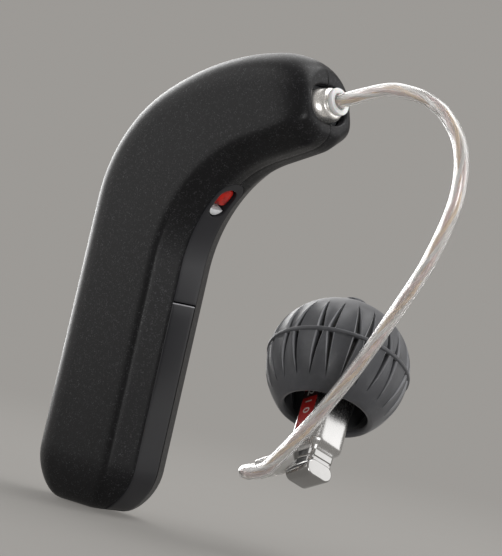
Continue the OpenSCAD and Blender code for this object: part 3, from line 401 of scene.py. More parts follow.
facetRun = halfThick - stripHalf
facetCos = facetRun / hypot(facetRun, facetDepth)
facetSin = facetDepth / hypot(facetRun, facetDepth)


def frontAt(length, inset, y):
    return min(length + facetDepth - inset,
               (length * facetCos + (halfThick - y) * facetSin - inset) / facetCos)


def halfOutline(length, inset, low, high):
    r = halfThick - inset
    start = asin(low / r)
    crease = length - inset * (1 - facetSin) / facetCos
    turnY = r - case["creaseRound"] * case["creaseShare"]
    points = [(-r * cos(a), r * sin(a)) for a in evenly(start, pi / 2, case["backSteps"])]
    ends = ((crease - case["creaseRound"], r), (crease, r), (frontAt(length, inset, turnY), turnY))
    for t in evenly(0, 1, case["frontSteps"]):
        points.append(tuple((1 - t) ** 2 * a + 2 * t * (1 - t) * b + t ** 2 * c for a, b, c in zip(*ends)))
    return points + [(frontAt(length, inset, y), y) for y in evenly(turnY, high, case["frontSteps"])[1:]]


def placed(at, q, side):
    (x0, z0), (x1, z1) = at
    long = hypot(x1 - x0, z1 - z0)
    ex, ez = (x1 - x0) / long, (z1 - z0) / long
    return Vector((x0 + ex * q[0], side * q[1], z0 + ez * q[0]))


def tucked(row, at, q):
    length = dist(*at)
    middle = (length + facetDepth - halfThick) / 2
    share = 1 - case["footTuck"] * (1 - cos(row[1])) if row[0] < 0 else 1
    return middle + (q[0] - middle) * share, q[1]


footTop = bendZ - leg + case["footHeight"]
footHalf = (spineToCrease + facetDepth + halfThick) / 2
footMiddle = spineX - case["spineLean"] + footHalf - halfThick


def sagged(p):  # the foot's bottom is slightly crowned along its length
    if p.z < footTop:
        across = (p.x - footMiddle) / footHalf
        p.z -= case["footCrown"] * max(0, 1 - across ** 2) * min(1, (footTop - p.z) / case["footHeight"]) ** 3
    return p


def rowOutline(row, wall):
    s, inset = rowPlace(row, wall)
    at = station(s)
    return at, [tucked(row, at, q) for q in halfOutline(dist(*at), inset, portEdge(s), stripEdge(s))]


def belly(row, depth):
    s, inset = rowPlace(row, depth)
    at = station(s)
    return sagged(placed(at, tucked(row, at, (dist(*at) + facetDepth - inset, 0)), 1))


# Mesh helpers
def placeObject(name, data):
    made = bpy.data.objects.new(name, data)
    bpy.context.scene.collection.objects.link(made)
    return made


def shaded(mesh, smooth):
    mesh.shade_smooth()
    if smooth:
        mesh.set_sharp_from_angle(angle=radians(smooth))


def makeMesh(name, points, faces, scale=mm, smooth=40):
    mesh = bpy.data.meshes.new(name)
    mesh.from_pydata([tuple(c * scale for c in p) for p in points], [], faces)
    mesh.update()
    shaded(mesh, smooth)
    return placeObject(name, mesh)


def outward(piece, merge=1e-8):
    work = bmesh.new()
    work.from_mesh(piece.data)
    bmesh.ops.remove_doubles(work, verts=work.verts, dist=merge)
    bmesh.ops.recalc_face_normals(work, faces=work.faces)
    work.to_mesh(piece.data)
    work.free()
    return piece


def sheetFaces(rows, cols, start=0, closed=False, wrapRows=False, flip=False):
    faces = []
    for i in range(rows if wrapRows else rows - 1):
        for j in range(cols if closed else cols - 1):
            a, b = start + i * cols + j, start + i * cols + (j + 1) % cols
            c, d = start + (i + 1) % rows * cols + (j + 1) % cols, start + (i + 1) % rows * cols + j
            faces.append((a, d, c, b) if flip else (a, b, c, d))
    return faces


def loft(name, rings, capped=True):  # rings of equal count, each one closed
    count = len(rings[0])
    points = [p for ring in rings for p in ring]
    faces = sheetFaces(len(rings), count, closed=True, wrapRows=not capped)
    if capped:
        faces += [tuple(range(count))[::-1], tuple(range(len(points) - count, len(points)))]
    return outward(makeMesh(name, points, faces))


def turns(count):
    return [2 * pi * k / count for k in range(count)]


def lathe(name, profile, matrix, segments=64):  # a closed profile of radius and height
    return loft(name, [[matrix @ Vector((r * cos(a), r * sin(a), z)) for r, z in profile]
                       for a in turns(segments)], False)


def baked(piece, smooth=40):  # modifiers become mesh
    bpy.context.view_layer.update()
    graph = bpy.context.evaluated_depsgraph_get()
    mesh = bpy.data.meshes.new_from_object(piece.evaluated_get(graph), preserve_all_data_layers=True,
                                           depsgraph=graph)
    piece.modifiers.clear()
    piece.data = mesh
    shaded(mesh, smooth)
    return piece


def bevelled(piece, width, segments=3, angle=40, smooth=40):
    edge = piece.modifiers.new("edge", "BEVEL")
    edge.width, edge.segments = width * mm, segments
    edge.limit_method, edge.angle_limit = "ANGLE", radians(angle)
    edge.use_clamp_overlap = True
    return baked(piece, smooth)


def carved(piece, *cutters):
    for cutter in cutters:
        cut = piece.modifiers.new("cut", "BOOLEAN")
        cut.operation, cut.solver, cut.object = "DIFFERENCE", "EXACT", cutter
    baked(piece)
    for cutter in cutters:
        bpy.data.objects.remove(cutter)
    return piece


def dress(piece, finish, body=None, *replaced):
    material, slotName = materials[finish]
    piece.data.materials.clear()
    piece.data.materials.append(material)
    if body:
        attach(piece, body)
        if replaced:
            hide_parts(*replaced)
    return piece


def roundedOutline(halfX, halfY, corner, count=6):
    points = []
    for quarter, (sx, sy) in enumerate(((1, 1), (-1, 1), (-1, -1), (1, -1))):
        for t in evenly(0, 1, count):
            a = pi / 2 * (quarter + t)
            points.append((sx * (halfX - corner) + corner * cos(a), sy * (halfY - corner) + corner * sin(a)))
    return points


def block(name, levels, matrix, count=6):  # levels of height, half sizes and corner radius
    return loft(name, [[matrix @ Vector((x, y, z)) for x, y in roundedOutline(hx, hy, corner, count)]
                       for z, hx, hy, corner in levels])


def rounding(steps):  # a rounded edge from its start: shares of its inset and of its rise
    return [(1 - sin(a), 1 - cos(a)) for a in evenly(0, pi / 2, steps)]


def softened(low, high, hx, hy, corner, edge, steps=4):  # a block's levels with rounded ends
    levels = [(low + edge * rise, hx - edge * inset, hy - edge * inset, max(0.01, corner - edge * inset))
              for inset, rise in rounding(steps)]
    return levels + [(low + high - z, x, y, c) for z, x, y, c in reversed(levels)]


# The two case halves
def caseRows():
    quarter = [radians(a) for a in range(8, 91, 8)] + [pi / 2]
    fixed = [stripEnd - edgeRun + edgeRun * sin(a) for a in [0] + quarter]
    for port in ports:
        for side in (-1, 1):
            fixed += [port + side * (case["portLength"] / 2 + portTaper * sin(radians(a)))
                      for a in range(0, 91, 15)]
    low, high = -(leg - case["footHeight"]), creaseLength - case["tipHeight"]
    free = evenly(low, high, round((high - low) / case["rowStep"]))
    rows = fixed + [f for f in free if min(abs(f - g) for g in fixed) > case["rowGap"]]
    foot = [(-1, a) for a in sorted(set(quarter), reverse=True)]
    tip = [(1, a) for a in sorted(set(quarter))]
    return foot + [(0, s) for s in sorted(set(round(r, 6) for r in rows))] + tip


def caseSkin(rows, wall, side):
    at, outline = rowOutline(rows[0], wall)
    middle = (outline[0][0] + outline[-1][0]) / 2
    skin = []
    tuck = case["endTuck"]
    for t in evenly(0, 1, case["endRows"])[:-1]:  # 0 on the mid-plane, 1 on the first row
        skin.append([sagged(placed(at, (middle + (q[0] - middle) * (1 - tuck + tuck * t),
                                        seamHalf + (q[1] - seamHalf) * t), side)) for q in outline])
    for row in rows:
        at, outline = rowOutline(row, wall)
        skin.append([sagged(placed(at, q, side)) for q in outline])
    at, outline = rowOutline(rows[-1], wall)
    atEnd = station(creaseLength)
    axis = Vector((tipDir[0], 0, tipDir[1]))
    last, power = skin[-1], case["mouthPower"]  # how square the mouth's outline is

    def mouth(grow, sink):
        ring = []
        for q in outline:
            a = atan2(q[1], -q[0])
            high, wide = case["mouthHeight"] / 2 + grow, case["mouthWidth"] / 2 + grow
            depth = case["mouthShift"] - high * copysign(abs(cos(a)) ** power, cos(a))
            ring.append(placed(atEnd, (depth, max(seamHalf, wide * sin(a) ** power)), side)
                        - axis * (wall + sink))
        return ring
    if wall:
        skin.append(mouth(0, 0))
    else:
        rim = mouth(case["lip"], 0)
        skin += [[a.lerp(b, t) for a, b in zip(last, rim)] for t in evenly(0, 1, 4)[1:]]
        skin += [mouth(case["lip"] * inset, case["lip"] * rise) for inset, rise in rounding(3)[1:]]
    return skin


def caseHalf(name, side):
    rows = caseRows()
    outer, inner = caseSkin(rows, 0, side), caseSkin(rows, case["wall"], side)
    cols, first = len(outer[0]), len(outer) * len(outer[0])
    faces = sheetFaces(len(outer), cols, flip=side > 0) + sheetFaces(len(inner), cols, first, flip=side < 0)
    for j in (0, cols - 1):
        for i in range(len(outer) - 1):  # the lip's extra rows all meet the inner mouth
            low, high = (first + min(k, len(inner) - 1) * cols + j for k in (i, i + 1))
            a, b = i * cols + j, (i + 1) * cols + j
            faces.append((a, b, high, low) if low != high else (a, b, low))
    top, innerTop = first - cols, first + (len(inner) - 1) * cols
    for j in range(cols - 1):
        faces += [(top + j, top + j + 1, innerTop + j + 1, innerTop + j),
                  (j, first + j, first + j + 1, j + 1)]
    piece = outward(makeMesh(name, [p for row in outer + inner for p in row], faces))
    print("case half:", name, len(piece.data.polygons), "faces")
    return bevelled(piece, 0.03, 2, 60, 45)


# Strip and button, swept along the front of the case
def sweptStrip(name, rows, half):
    levels = []
    for row in rows:
        h = half(row)
        out, inn = belly(row, 0), belly(row, strip["thickness"])
        across = evenly(-h, h, strip["columns"])
        levels.append([out + Vector((0, y, 0)) for y in across]
                      + [inn + Vector((0, y, 0)) for y in reversed(across)])
    return loft(name, levels)


def onBelly(s, depth=0):
    b = belly((0, s), 0)
    return Matrix.Translation(b) @ Matrix.Rotation(heading(s), 4, "Y") @ Matrix.Translation((-depth, 0, 0))


def pillOutline(width, length, count=12):
    r, run = width / 2, (length - width) / 2
    top = [(r * cos(a), run + r * sin(a)) for a in evenly(0, pi, count)]
    return top + [(-y, -z) for y, z in top]


def pillar(name, outline, low, high, matrix, edge=0, crown=0):  # an outline of y and z, raised along x
    size = max(abs(y) for y, z in outline)
    levels = [(low, 1)] + [(high - edge * inset, 1 - edge * rise / size) for inset, rise in rounding(4)]
    if crown:
        levels += [(high + crown * (1 - t * t), (1 - edge / size) * t) for t in (0.75, 0.5, 0.25, 0.04)]
    return loft(name, [[matrix @ Vector((x, y * shrink, z * shrink)) for y, z in outline]
                       for x, shrink in levels])


splitS = strip["buttonLength"] - leg
windowS = creaseRadius * radians(strip["windowAngle"])


def frontStrip():
    low, high, run = splitS + strip["splitGap"], stripEnd - edgeRun, stripHalf / bellyScale
    rows = [(0, s) for s in evenly(low, high, strip["rows"])]
    rows += [(0, high + run * sin(radians(a))) for a in strip["tipAngles"]]

    def half(row):
        past = (row[1] - stripEnd + edgeRun) * bellyScale
        return max(strip["tipHalf"], sqrt(max(0, stripHalf ** 2 - max(0, past) ** 2)))
    piece = bevelled(sweptStrip("frontStrip", rows, half), strip["edge"], 3, 50)
    outline = pillOutline(strip["windowWidth"], strip["windowLength"])
    return bevelled(carved(piece, pillar("windowCut", outline, -2, 2, onBelly(windowS))), 0.03, 2, 60)


button = {"pinDrop": 0.8, "pinDepth": 1.6, "lugRadii": (0.33, 0.57, 0.57, 0.33), "lugHalf": 0.85,
          "webDepth": 0.95, "webHeight": 1.0, "webHalf": 0.25, "webCorner": 0.05, "webEdge": 0.04,
          "postAt": (-3.89835, 0, -18.8912), "postRadius": 0.45, "postLength": 1.25, "postEdge": 0.07,
          "footAngles": (80, 73, 66, 58, 50, 42, 34, 26, 18, 9), "rows": 12}


def pushButton():
    low, lug = case["footHeight"] - leg, button["lugHalf"]
    rows = [(-1, radians(a)) for a in button["footAngles"]]
    rows += [(0, s) for s in evenly(low, splitS, button["rows"])]
    piece = bevelled(sweptStrip("pushButton", rows, lambda row: stripHalf), strip["edge"], 3, 50)
    pin = onBelly(splitS - button["pinDrop"], button["pinDepth"]) @ Matrix.Rotation(radians(90), 4, "X")
    ring = lathe("buttonLug", [(x, z) for x, z in zip(button["lugRadii"], (-lug, -lug, lug, lug))], pin, 32)
    half = button["webHeight"] / 2
    web = block("buttonWeb", softened(-half, half, button["webHalf"], lug, button["webCorner"],
                button["webEdge"]), onBelly(splitS - button["pinDrop"], button["webDepth"]))
    turned = Matrix.Translation(button["postAt"]) @ Matrix.Rotation(radians(90), 4, "Y")
    r, end, edge, middle = button["postRadius"], button["postLength"], button["postEdge"], 0.001
    post = lathe("buttonPost", [(middle, 0), (r - edge, 0), (r, edge), (r, end), (middle, end)], turned, 32)
    return joined(piece, ring, web, post)


def joined(first, *others):
    work = bmesh.new()
    for part in (first, *others):
        work.from_mesh(part.data)
    work.to_mesh(first.data)
    work.free()
    for part in others:
        bpy.data.objects.remove(part)
    return first


marker = {"width": 1.34, "length": 1.45, "corner": 0.42, "low": -1.1, "sunk": 0.12, "edge": 0.12,
          "crown": 0.06, "centre": 0.37}
guide = {"radius": 0.7, "run": 0.5, "high": -0.68, "middle": -0.98, "low": -1.1, "sunk": 0.12,
         "edge": 0.06, "dip": 0.05, "steps": 20, "least": 0.02}


def sideMarker():
    outline = roundedOutline(marker["width"] / 2, marker["length"] / 2, marker["corner"], 8)
    place = onBelly(windowS) @ Matrix.Translation((0, 0, marker["centre"]))
    return pillar("sideMarker", outline, marker["low"], -marker["sunk"] - marker["crown"], place,
                  marker["edge"], marker["crown"])


def lightGuide():  # it fills the lower end of the window's own outline
    r, run, high = guide["radius"], guide["run"], guide["high"]
    arc = [(-r * cos(a), -run - r * sin(a)) for a in evenly(0, pi, guide["steps"])]
    arc = [q for q in arc if q[1] < high - guide["least"]]
    side = abs(arc[0][0])
    top = [(side * t, high - guide["dip"] * (1 - t * t)) for t in (1, 0.5, 0, -0.5, -1)]
    outline = [(y, z - guide["middle"]) for y, z in arc + top]
    place = onBelly(windowS) @ Matrix.Translation((0, 0, guide["middle"]))
    return pillar("lightGuide", outline, guide["low"], -guide["sunk"], place, guide["edge"])


# Plug and its ring, about the tip's own direction
tipSpine, shift = station(creaseLength)[0], case["mouthShift"]
tipAt = Vector((tipSpine[0] + shift * tipDir[1], 0, tipSpine[1] - shift * tipDir[0]))
tipAxis = Vector((tipDir[0], 0, tipDir[1]))
tipPlace = Matrix.Translation(tipAt) @ Matrix.Rotation(tipAngle, 4, "Y")
plug = {"width": 3.2, "height": 2.3, "depth": 3.55, "edge": 0.16, "sides": 48, "out": 1.4,
        "ringRadius": 1.0, "ringAt": 0.6, "ringLength": 0.4}


def plugBody():
    h, w, edge = plug["height"], plug["width"], plug["edge"]
    levels = [(edge * rise - plug["depth"], h - 2 * edge * inset, w - 2 * edge * inset)
              for inset, rise in rounding(3)]
    levels += [(-0.3, h, w), (-0.18, h, w - 0.1), (-0.06, h, w - 0.32), (0.06, h, h + 0.32),
               (0.16, h, h + 0.1)]
    levels += [(z, d, d) for z, d in ((0.26, h), (0.34, h - 0.04), (0.4, 2.16), (0.44, 2.0), (0.47, 1.84),
                                      (0.5, 1.78), (0.56, 1.78), (0.61, 1.82))]
    rings = []
    for z, height, width in levels:
        ring = []
        for a in turns(plug["sides"]):
            x, y = height / 2 * cos(a), height / 2 * sin(a)
            wide = copysign((width - height) / 2 * min(1, abs(sin(a)) * 3), y)
            ring.append(tipPlace @ Vector((x, y + wide, z)))
        rings.append(ring)
    return loft("plugBody", rings)


def plugRing():
    low, high, r = plug["ringAt"], plug["ringAt"] + plug["ringLength"], plug["ringRadius"]
    profile = [(0.56, low), (r - 0.08, low), (r - 0.02, low + 0.03), (r, low + 0.09), (r, high - 0.1),
               (r - 0.03, high - 0.03), (r - 0.1, high), (0.7, high), (0.63, high - 0.03), (0.6, high - 0.1),
               (0.56, high - 0.26)]
    return lathe("plugRing", profile, tipPlace, 72)


# Tube and wires: the route of the part's source, in millimetres
tube = {"radius": 0.5, "bore": 0.39, "sides": 36, "steps": 12, "wire": 0.26, "pitch": 6.4, "orbit": 0.203,
        "reach": 11.55, "drop": 27.1}
exitAt = tipAt + plug["out"] * tipAxis
routeShares = [
    (0.168, 0, 0.0245), (0.33, 0, 0.043), (0.453, 0, 0.044), (0.6, 0, 0.036), (0.743, 0, 0.0135),
    (0.848, 0, -0.02), (0.925, 0, -0.057), (0.972, 0, -0.1), (0.996, 0, -0.147), (1, 0, -0.202),
    (0.977, 0, -0.262), (0.935, 0, -0.326), (0.872, 0, -0.4), (0.72, 0, -0.531), (0.529, 0, -0.683),
    (0.31, 0, -0.827), (0.087, 0, -0.952), (0.01, -0.08, -0.983), (-0.08, -0.15, -0.997),
    (-0.155, 0.5, -0.9985), (-0.115, 1.25, -0.987), (-0.04, 1.6, -0.969), (0.07, 2.13, -0.9415)]
route = [tipAt - tipAxis, exitAt]
route += [exitAt + Vector((x * tube["reach"], y, z * tube["drop"])) for x, y, z in routeShares]


def smoothPath(points, steps):
    last = len(points) - 1
    path = []
    for i in range(last):
        a, b, c, d = points[max(0, i - 1)], points[i], points[i + 1], points[min(last, i + 2)]
        for t in evenly(0, 1, steps)[:-1]:
            path.append((2 * b + (c - a) * t + (2 * a - 5 * b + 4 * c - d) * t ** 2
                         + (3 * b - a - 3 * c + d) * t ** 3) / 2)
    return path + [points[last]]


def pathFrames(path):
    last = len(path) - 1
    ahead = [(path[min(last, i + 1)] - path[max(0, i - 1)]).normalized() for i in range(last + 1)]
    side = ahead[0].cross(Vector((0, 1, 0))).normalized()
    sides = []
    for direction in ahead:
        side = (side - side.dot(direction) * direction).normalized()
        sides.append(side)
    return ahead, sides


def tubeMesh(name):
    path = smoothPath(route, tube["steps"])
    ahead, sides = pathFrames(path)
    order = list(range(len(path)))
    rings = []
    for r, rows in ((tube["radius"], order), (tube["bore"], order[::-1])):
        for i in rows:
            other = ahead[i].cross(sides[i])
            rings.append([path[i] + r * (cos(a) * sides[i] + sin(a) * other) for a in turns(tube["sides"])])
    return loft(name, rings, False)


# Geometry Nodes: a tree with named inputs; values are set by the sockets' identifiers
class Builder(Tree):
    def __init__(self, name, inputs):
        self.group = bpy.data.node_groups.new(name, "GeometryNodeTree")
        super().__init__(self.group)
        self.ids = {}
        face = self.group.interface
        face.new_socket("Geometry", in_out="INPUT", socket_type="NodeSocketGeometry")
        face.new_socket("Geometry", in_out="OUTPUT", socket_type="NodeSocketGeometry")
        for label, kind, value in inputs:
            socket = face.new_socket(label, in_out="INPUT", socket_type=kind)
            if value is not None:
                socket.default_value = value
            self.ids[label] = socket.identifier
        self.source = self.nodeTree.nodes.new("NodeGroupInput")
        self.drain = self.nodeTree.nodes.new("NodeGroupOutput")

    def given(self, label):
        return Link(self, self.source.outputs[label])

    def close(self, shape, finish):
        whole = self.node("GeometryNodeRealizeInstances", None, {"Geometry": shape})
        painted = self.node("GeometryNodeSetMaterial", None, {"Geometry": whole, "Material": finish})
        self.join(painted, self.drain.inputs["Geometry"])

    def run(self, piece, values, smooth=40):
        grown = piece.modifiers.new("grown", "NODES")
        grown.node_group = self.group
        for label, value in values.items():
            grown[self.ids[label]] = value
        return baked(piece, smooth)


# A wire follows the route's points and winds round them
def wireTree():
    build = Builder("woundWire", [("Orbit", "NodeSocketFloat", 0.0002), ("Pitch", "NodeSocketFloat", 0.0064),
                                  ("Phase", "NodeSocketFloat", 0.0), ("Thickness", "NodeSocketFloat", 0.00026),
                                  ("Sides", "NodeSocketInt", 10), ("Finish", "NodeSocketMaterial", None)])
    curve = build.node("GeometryNodeMeshToCurve", None, {"Mesh": build.given("Geometry")})
    length = build.node("GeometryNodeSplineParameter", output=1)
    side = build.node("GeometryNodeInputNamedAttribute", {"data_type": "FLOAT_VECTOR"}, {"Name": "side"})
    other = build.vectors("CROSS_PRODUCT", build.node("GeometryNodeInputTangent"), side)
    angle = length / build.given("Pitch") * (2 * pi) + build.given("Phase")
    first, second = (build.vectors("SCALE", axis, angle.maths(wave, angle) * build.given("Orbit"), key="Scale")
                     for axis, wave in ((side, "COSINE"), (other, "SINE")))
    wound = build.node("GeometryNodeSetPosition", None,
                       {"Geometry": curve, "Offset": build.vectors("ADD", first, second)})
    profile = build.node("GeometryNodeCurvePrimitiveCircle", None, {"Resolution": build.given("Sides"),
                         "Radius": build.given("Thickness") * 0.5})
    solid = build.node("GeometryNodeCurveToMesh", None,
                       {"Curve": wound, "Profile Curve": profile, "Fill Caps": True})
    build.close(solid, build.given("Finish"))
    return build


def wire(name, tree, phase, finish):
    path = smoothPath(route, tube["steps"])
    sides = pathFrames(path)[1]
    mesh = bpy.data.meshes.new(name)
    mesh.from_pydata([p * mm for p in path], [(i, i + 1) for i in range(len(path) - 1)], [])
    sideValues = mesh.attributes.new("side", "FLOAT_VECTOR", "POINT").data
    sideValues.foreach_set("vector", [c for side in sides for c in side])
    piece = placeObject(name, mesh)
    tree.run(piece, {"Orbit": tube["orbit"] * mm, "Pitch": tube["pitch"] * mm, "Phase": radians(phase),
                     "Thickness": tube["wire"] * mm, "Sides": 10, "Finish": materials[finish][0]})
    return outward(piece)


# Receiver and dome, in the receiver's own frame
receiver = {"width": 3.2, "depth": 3.15, "corner": 1.0, "length": 6.7, "neckTop": 1.35, "shoulder": 0.75,
            "blockLength": 2.5, "blockWidth": 2.3, "blockHeight": 1.25, "edge": 0.18, "blockEdge": 0.16,
            "at": (0.22338, 2.045, -0.9631), "turn": 124.96, "lean": 29.07, "twist": -140.44}
receiverAt = exitAt + Vector(receiver["at"]) * Vector((tube["reach"], 1, tube["drop"]))
receiverPlace = Matrix.Translation(receiverAt)
for key, axis in (("turn", "Z"), ("lean", "Y"), ("twist", "Z")):
    receiverPlace @= Matrix.Rotation(radians(receiver[key]), 4, axis)
receiverAxis = (receiverPlace.to_3x3() @ Vector((0, 0, 1))).normalized()


def endBlock():
    half, wide, high = receiver["blockLength"] / 2, receiver["blockWidth"] / 2, receiver["blockHeight"] / 2
    body = block("endBlock", softened(-half, half, high, wide, high - 0.001, receiver["blockEdge"], 5),
                 receiverPlace @ Matrix.Rotation(radians(90), 4, "Y"), 12)
    levels = [(z, 1.2 - dip, 1.05 - dip, corner) for z, dip, corner in (
        (0.3, 0, 0.4), (0.7, 0, 0.4), (0.74, 0.06, 0.36), (0.82, 0.08, 0.35), (0.88, 0.06, 0.36),
        (0.92, 0, 0.4), (1.345, 0, 0.4))]
    return joined(body, block("neck", levels, receiverPlace, 8))


def housing():
    t, hx, hy, c = receiver["neckTop"], receiver["width"] / 2, receiver["depth"] / 2, receiver["corner"]
    edge = receiver["edge"]
    top = t + receiver["shoulder"] + receiver["length"]
    levels = [(t + rise, x, y, corner) for rise, x, y, corner in (
        (0, 1.16, 1.01, 0.36), (0.04, 1.2, 1.05, 0.4), (0.2, 1.22, 1.07, 0.42), (0.36, 1.32, 1.2, 0.55),
        (0.52, 1.48, 1.42, 0.8), (0.64, 1.56, 1.53, 0.95), (0.75, hx - 0.005, hy - 0.005, c),
        (0.85, hx, hy, c))]
    levels += [(z, hx, hy, c) for z in evenly(t + 1, top - 0.2, 10)]
    levels += [(top - edge * inset, hx - edge * rise, hy - edge * rise, c) for inset, rise in rounding(3)]
    return block("housing", levels, receiverPlace, 10)


label = {"width": 1.5, "length": 5.0, "start": 2.9, "rise": 0.05, "crown": 0.02, "sunk": 0.01,
         "rows": 28, "columns": 8, "band": (5.35, 5.95), "numbers": "2 1 0", "height": 0.95,
         "numbersAt": 2.1, "numbersRise": 0.024, "thickness": 0.008}


def labelFilm():
    side = -receiver["depth"] / 2
    top = [(label["width"] * (t - 0.5), side - label["rise"] - label["crown"] * (1 - (2 * t - 1) ** 2))
           for t in evenly(0, 1, label["columns"])]
    outline = top + [(x, side + label["sunk"]) for x, _ in reversed(top)]
    return loft("labelFilm", [[receiverPlace @ Vector((x, y, label["start"] + run)) for x, y in outline]
                              for run in evenly(0, label["length"], label["rows"])])


def labelNumbers():
    words = bpy.data.curves.new("labelNumbers", "FONT")
    words.body, words.size, words.extrude = label["numbers"], label["height"], label["thickness"]
    words.align_x, words.align_y = "CENTER", "CENTER"
    source = placeObject("numberSource", words)
    bpy.context.view_layer.update()
    mesh = bpy.data.meshes.new_from_object(source.evaluated_get(bpy.context.evaluated_depsgraph_get()))
    bpy.data.objects.remove(source)
    rise = label["rise"] + label["numbersRise"]
    centre = Vector((0, -receiver["depth"] / 2 - rise, label["start"] + label["numbersAt"]))
    # The line of numbers runs along the receiver, read from the side of the label
    turned = Matrix.Translation(centre) @ Matrix(((0, 1, 0, 0), (0, 0, -1, 0), (-1, 0, 0, 0), (0, 0, 0, 1)))
    mesh.transform(Matrix.Scale(mm, 4) @ receiverPlace @ turned)
    return placeObject("labelNumbers", mesh)


# The clear boot: a tapered sleeve with a rounded mouth and one shallow waist
boot = {"near": 0.72, "far": 0.92, "extra": 0.42, "bore": 0.52, "mouth": 0.1, "edge": 0.03,
        "waist": 0.035, "waists": (0.3, 0.8), "waistAt": 0.42, "taper": 1.3, "steps": 24}


def bootSleeve():
    start, root = route[-3], route[-1]
    length = (root - start).length
    axis = (root - start).normalized()
    place = Matrix.Translation(start) @ axis.to_track_quat("Z", "Y").to_matrix().to_4x4()
    near, mouth, edge, end = boot["near"], boot["mouth"], boot["edge"], length + boot["extra"]
    first, last = boot["waists"]
    profile = [(boot["bore"], edge), (near - mouth, 0), (near - edge, edge), (near, mouth)]
    for t in evenly(0, 1, boot["steps"])[1:]:
        waist = boot["waist"] * max(0, cos(4 * pi * (t - boot["waistAt"]))) if first < t < last else 0
        profile.append((near + (boot["far"] - near) * t ** boot["taper"] - waist, mouth + (end - mouth) * t))
    profile.append((boot["bore"], end))
    return lathe("bootSleeve", profile, place, 56)


dome = {"pairs": 12, "turn": 8.6, "diameter": 10.54, "top": 4.8, "drop": 5.4, "lift": 8.85, "wall": 0.5,
        "lip": 0.26, "lipAngle": -47, "rib": 0.12, "ribHalf": 0.13, "bore": 0.97,
        "grooveDepth": 0.45, "grooveReach": 36, "grooveAt": 4.3, "grooveSpread": 8.2, "grooveHalf": 3.2,
        "grooveEnd": 0.45, "bank": 0.45, "floorShare": 0.48, "swell": 0.03, "swellShare": 1.1,
        "sectionShares": (1.35, 1.18, 1.04, 0.95, 0.8, 0.62, 0.48, 0.4, 0.15)}
domePlace = receiverPlace @ Matrix.Translation((0, 0, dome["lift"]))


def domeRows():  # radius, height, latitude and how deep the grooves go, round the wall's whole section
    shell = dome["diameter"] / 2 - dome["rib"]

    def meridian(lat, sink=0):
        a = radians(lat)
        r, z = shell * cos(a), (dome["top"] if lat >= 0 else dome["drop"]) * sin(a)
        k = 1 - sink / hypot(r, z)
        return r * k, z * k
    rows = [(*meridian(lat), lat, 1) for lat in (*range(79, 50, -4), *range(48, 41, -3), *range(39, 2, -2))]
    rows += [(*meridian(2.2), 2.2, 0.75), (*meridian(1.7), 1.7, 0.3)]
    outer, half = shell + dome["rib"], dome["ribHalf"]
    rib = [(shell - 0.01, half + 0.03), (outer - 0.03, half), (outer, half * 0.5)]
    rows += [(r, z, 0, 0) for r, z in rib + [(r, -z) for r, z in reversed(rib)]]
    rows += [(*meridian(-1.7), -1.7, 0.3), (*meridian(-2.2), -2.2, 0.75)]
    rows += [(*meridian(lat), lat, 1) for lat in range(-3, -46, -2)]
    lipAngle = radians(dome["lipAngle"])
    out = Vector((cos(lipAngle) * dome["drop"], sin(lipAngle) * shell)).normalized()
    edge = meridian(dome["lipAngle"])
    middle = Vector(edge) - dome["lip"] * out
    start = atan2(out.y, out.x)
    for turn in range(0, 181, 15):
        a = start - radians(turn)
        rows.append((middle.x + dome["lip"] * cos(a), middle.y + dome["lip"] * sin(a), dome["lipAngle"], 0))
    rows += [(*meridian(lat, dome["wall"]), lat, 0.8) for lat in range(-40, 65, 4)]
    rim = dome["top"] * sin(radians(80))
    return rows + [(1.6, dome["top"] * sin(radians(70)) - dome["wall"], 80, 0),
                   (dome["bore"], rim - dome["wall"], 80, 0), (dome["bore"], rim, 80, 0)]


def domeSector(name):  # one pair of grooves, above and below the rib
    step = 360 / dome["pairs"]
    shares = [-share for share in dome["sectionShares"]] + list(reversed(dome["sectionShares"]))
    level, bank = dome["floorShare"], dome["bank"]
    points, paintedSlotShades, paintedLipHighlights = [], [], []
    rows = domeRows()
    for r, z, lat, depth in rows:
        share = max(0, 1 - abs(lat) / dome["grooveReach"])
        centre = dome["grooveAt"] + (dome["grooveSpread"] - dome["grooveAt"]) * (1 - share)
        width = dome["grooveEnd"] + (dome["grooveHalf"] - dome["grooveEnd"]) * share ** 0.8
        deep = dome["grooveDepth"] * depth * min(1, 1.25 * share ** 0.6)
        spots = [(-step / 2, 9)] + [(-centre + width * s, s) for s in shares] + [(0, 9)]
        spots += [(centre + width * s, s) for s in shares] + [(step / 2, 9)]
        for turn, s in spots:
            wide = abs(s)
            fall = 0 if wide >= 1 else bank * (1 - wide) / (1 - level) if wide > level else 1
            lift = dome["swell"] * exp(-((wide - dome["swellShare"]) / 0.16) ** 2) * min(1, share * 3) * depth
            # painted shade for the slot floors and painted highlight for the slot lips, kept as point
            # attributes
            paintedSlotShades.append(min(1, max(0, (0.6 - wide) / 0.2)) * min(1, depth * share * 5))
            paintedLipHighlights.append(exp(-((wide - 0.86) / 0.2) ** 2) * min(1, depth * share * 4))
            a, out = radians(turn), r - deep * fall + lift
            points.append((out * cos(a), out * sin(a), z))
    cols = len(points) // len(rows)
    piece = makeMesh(name, points, sheetFaces(len(rows), cols, wrapRows=True, flip=True), smooth=0)
    for label, values in (("paintedSlotShade", paintedSlotShades), ("lip", paintedLipHighlights)):
        piece.data.attributes.new(label, "FLOAT", "POINT").data.foreach_set("value", values)
    return piece


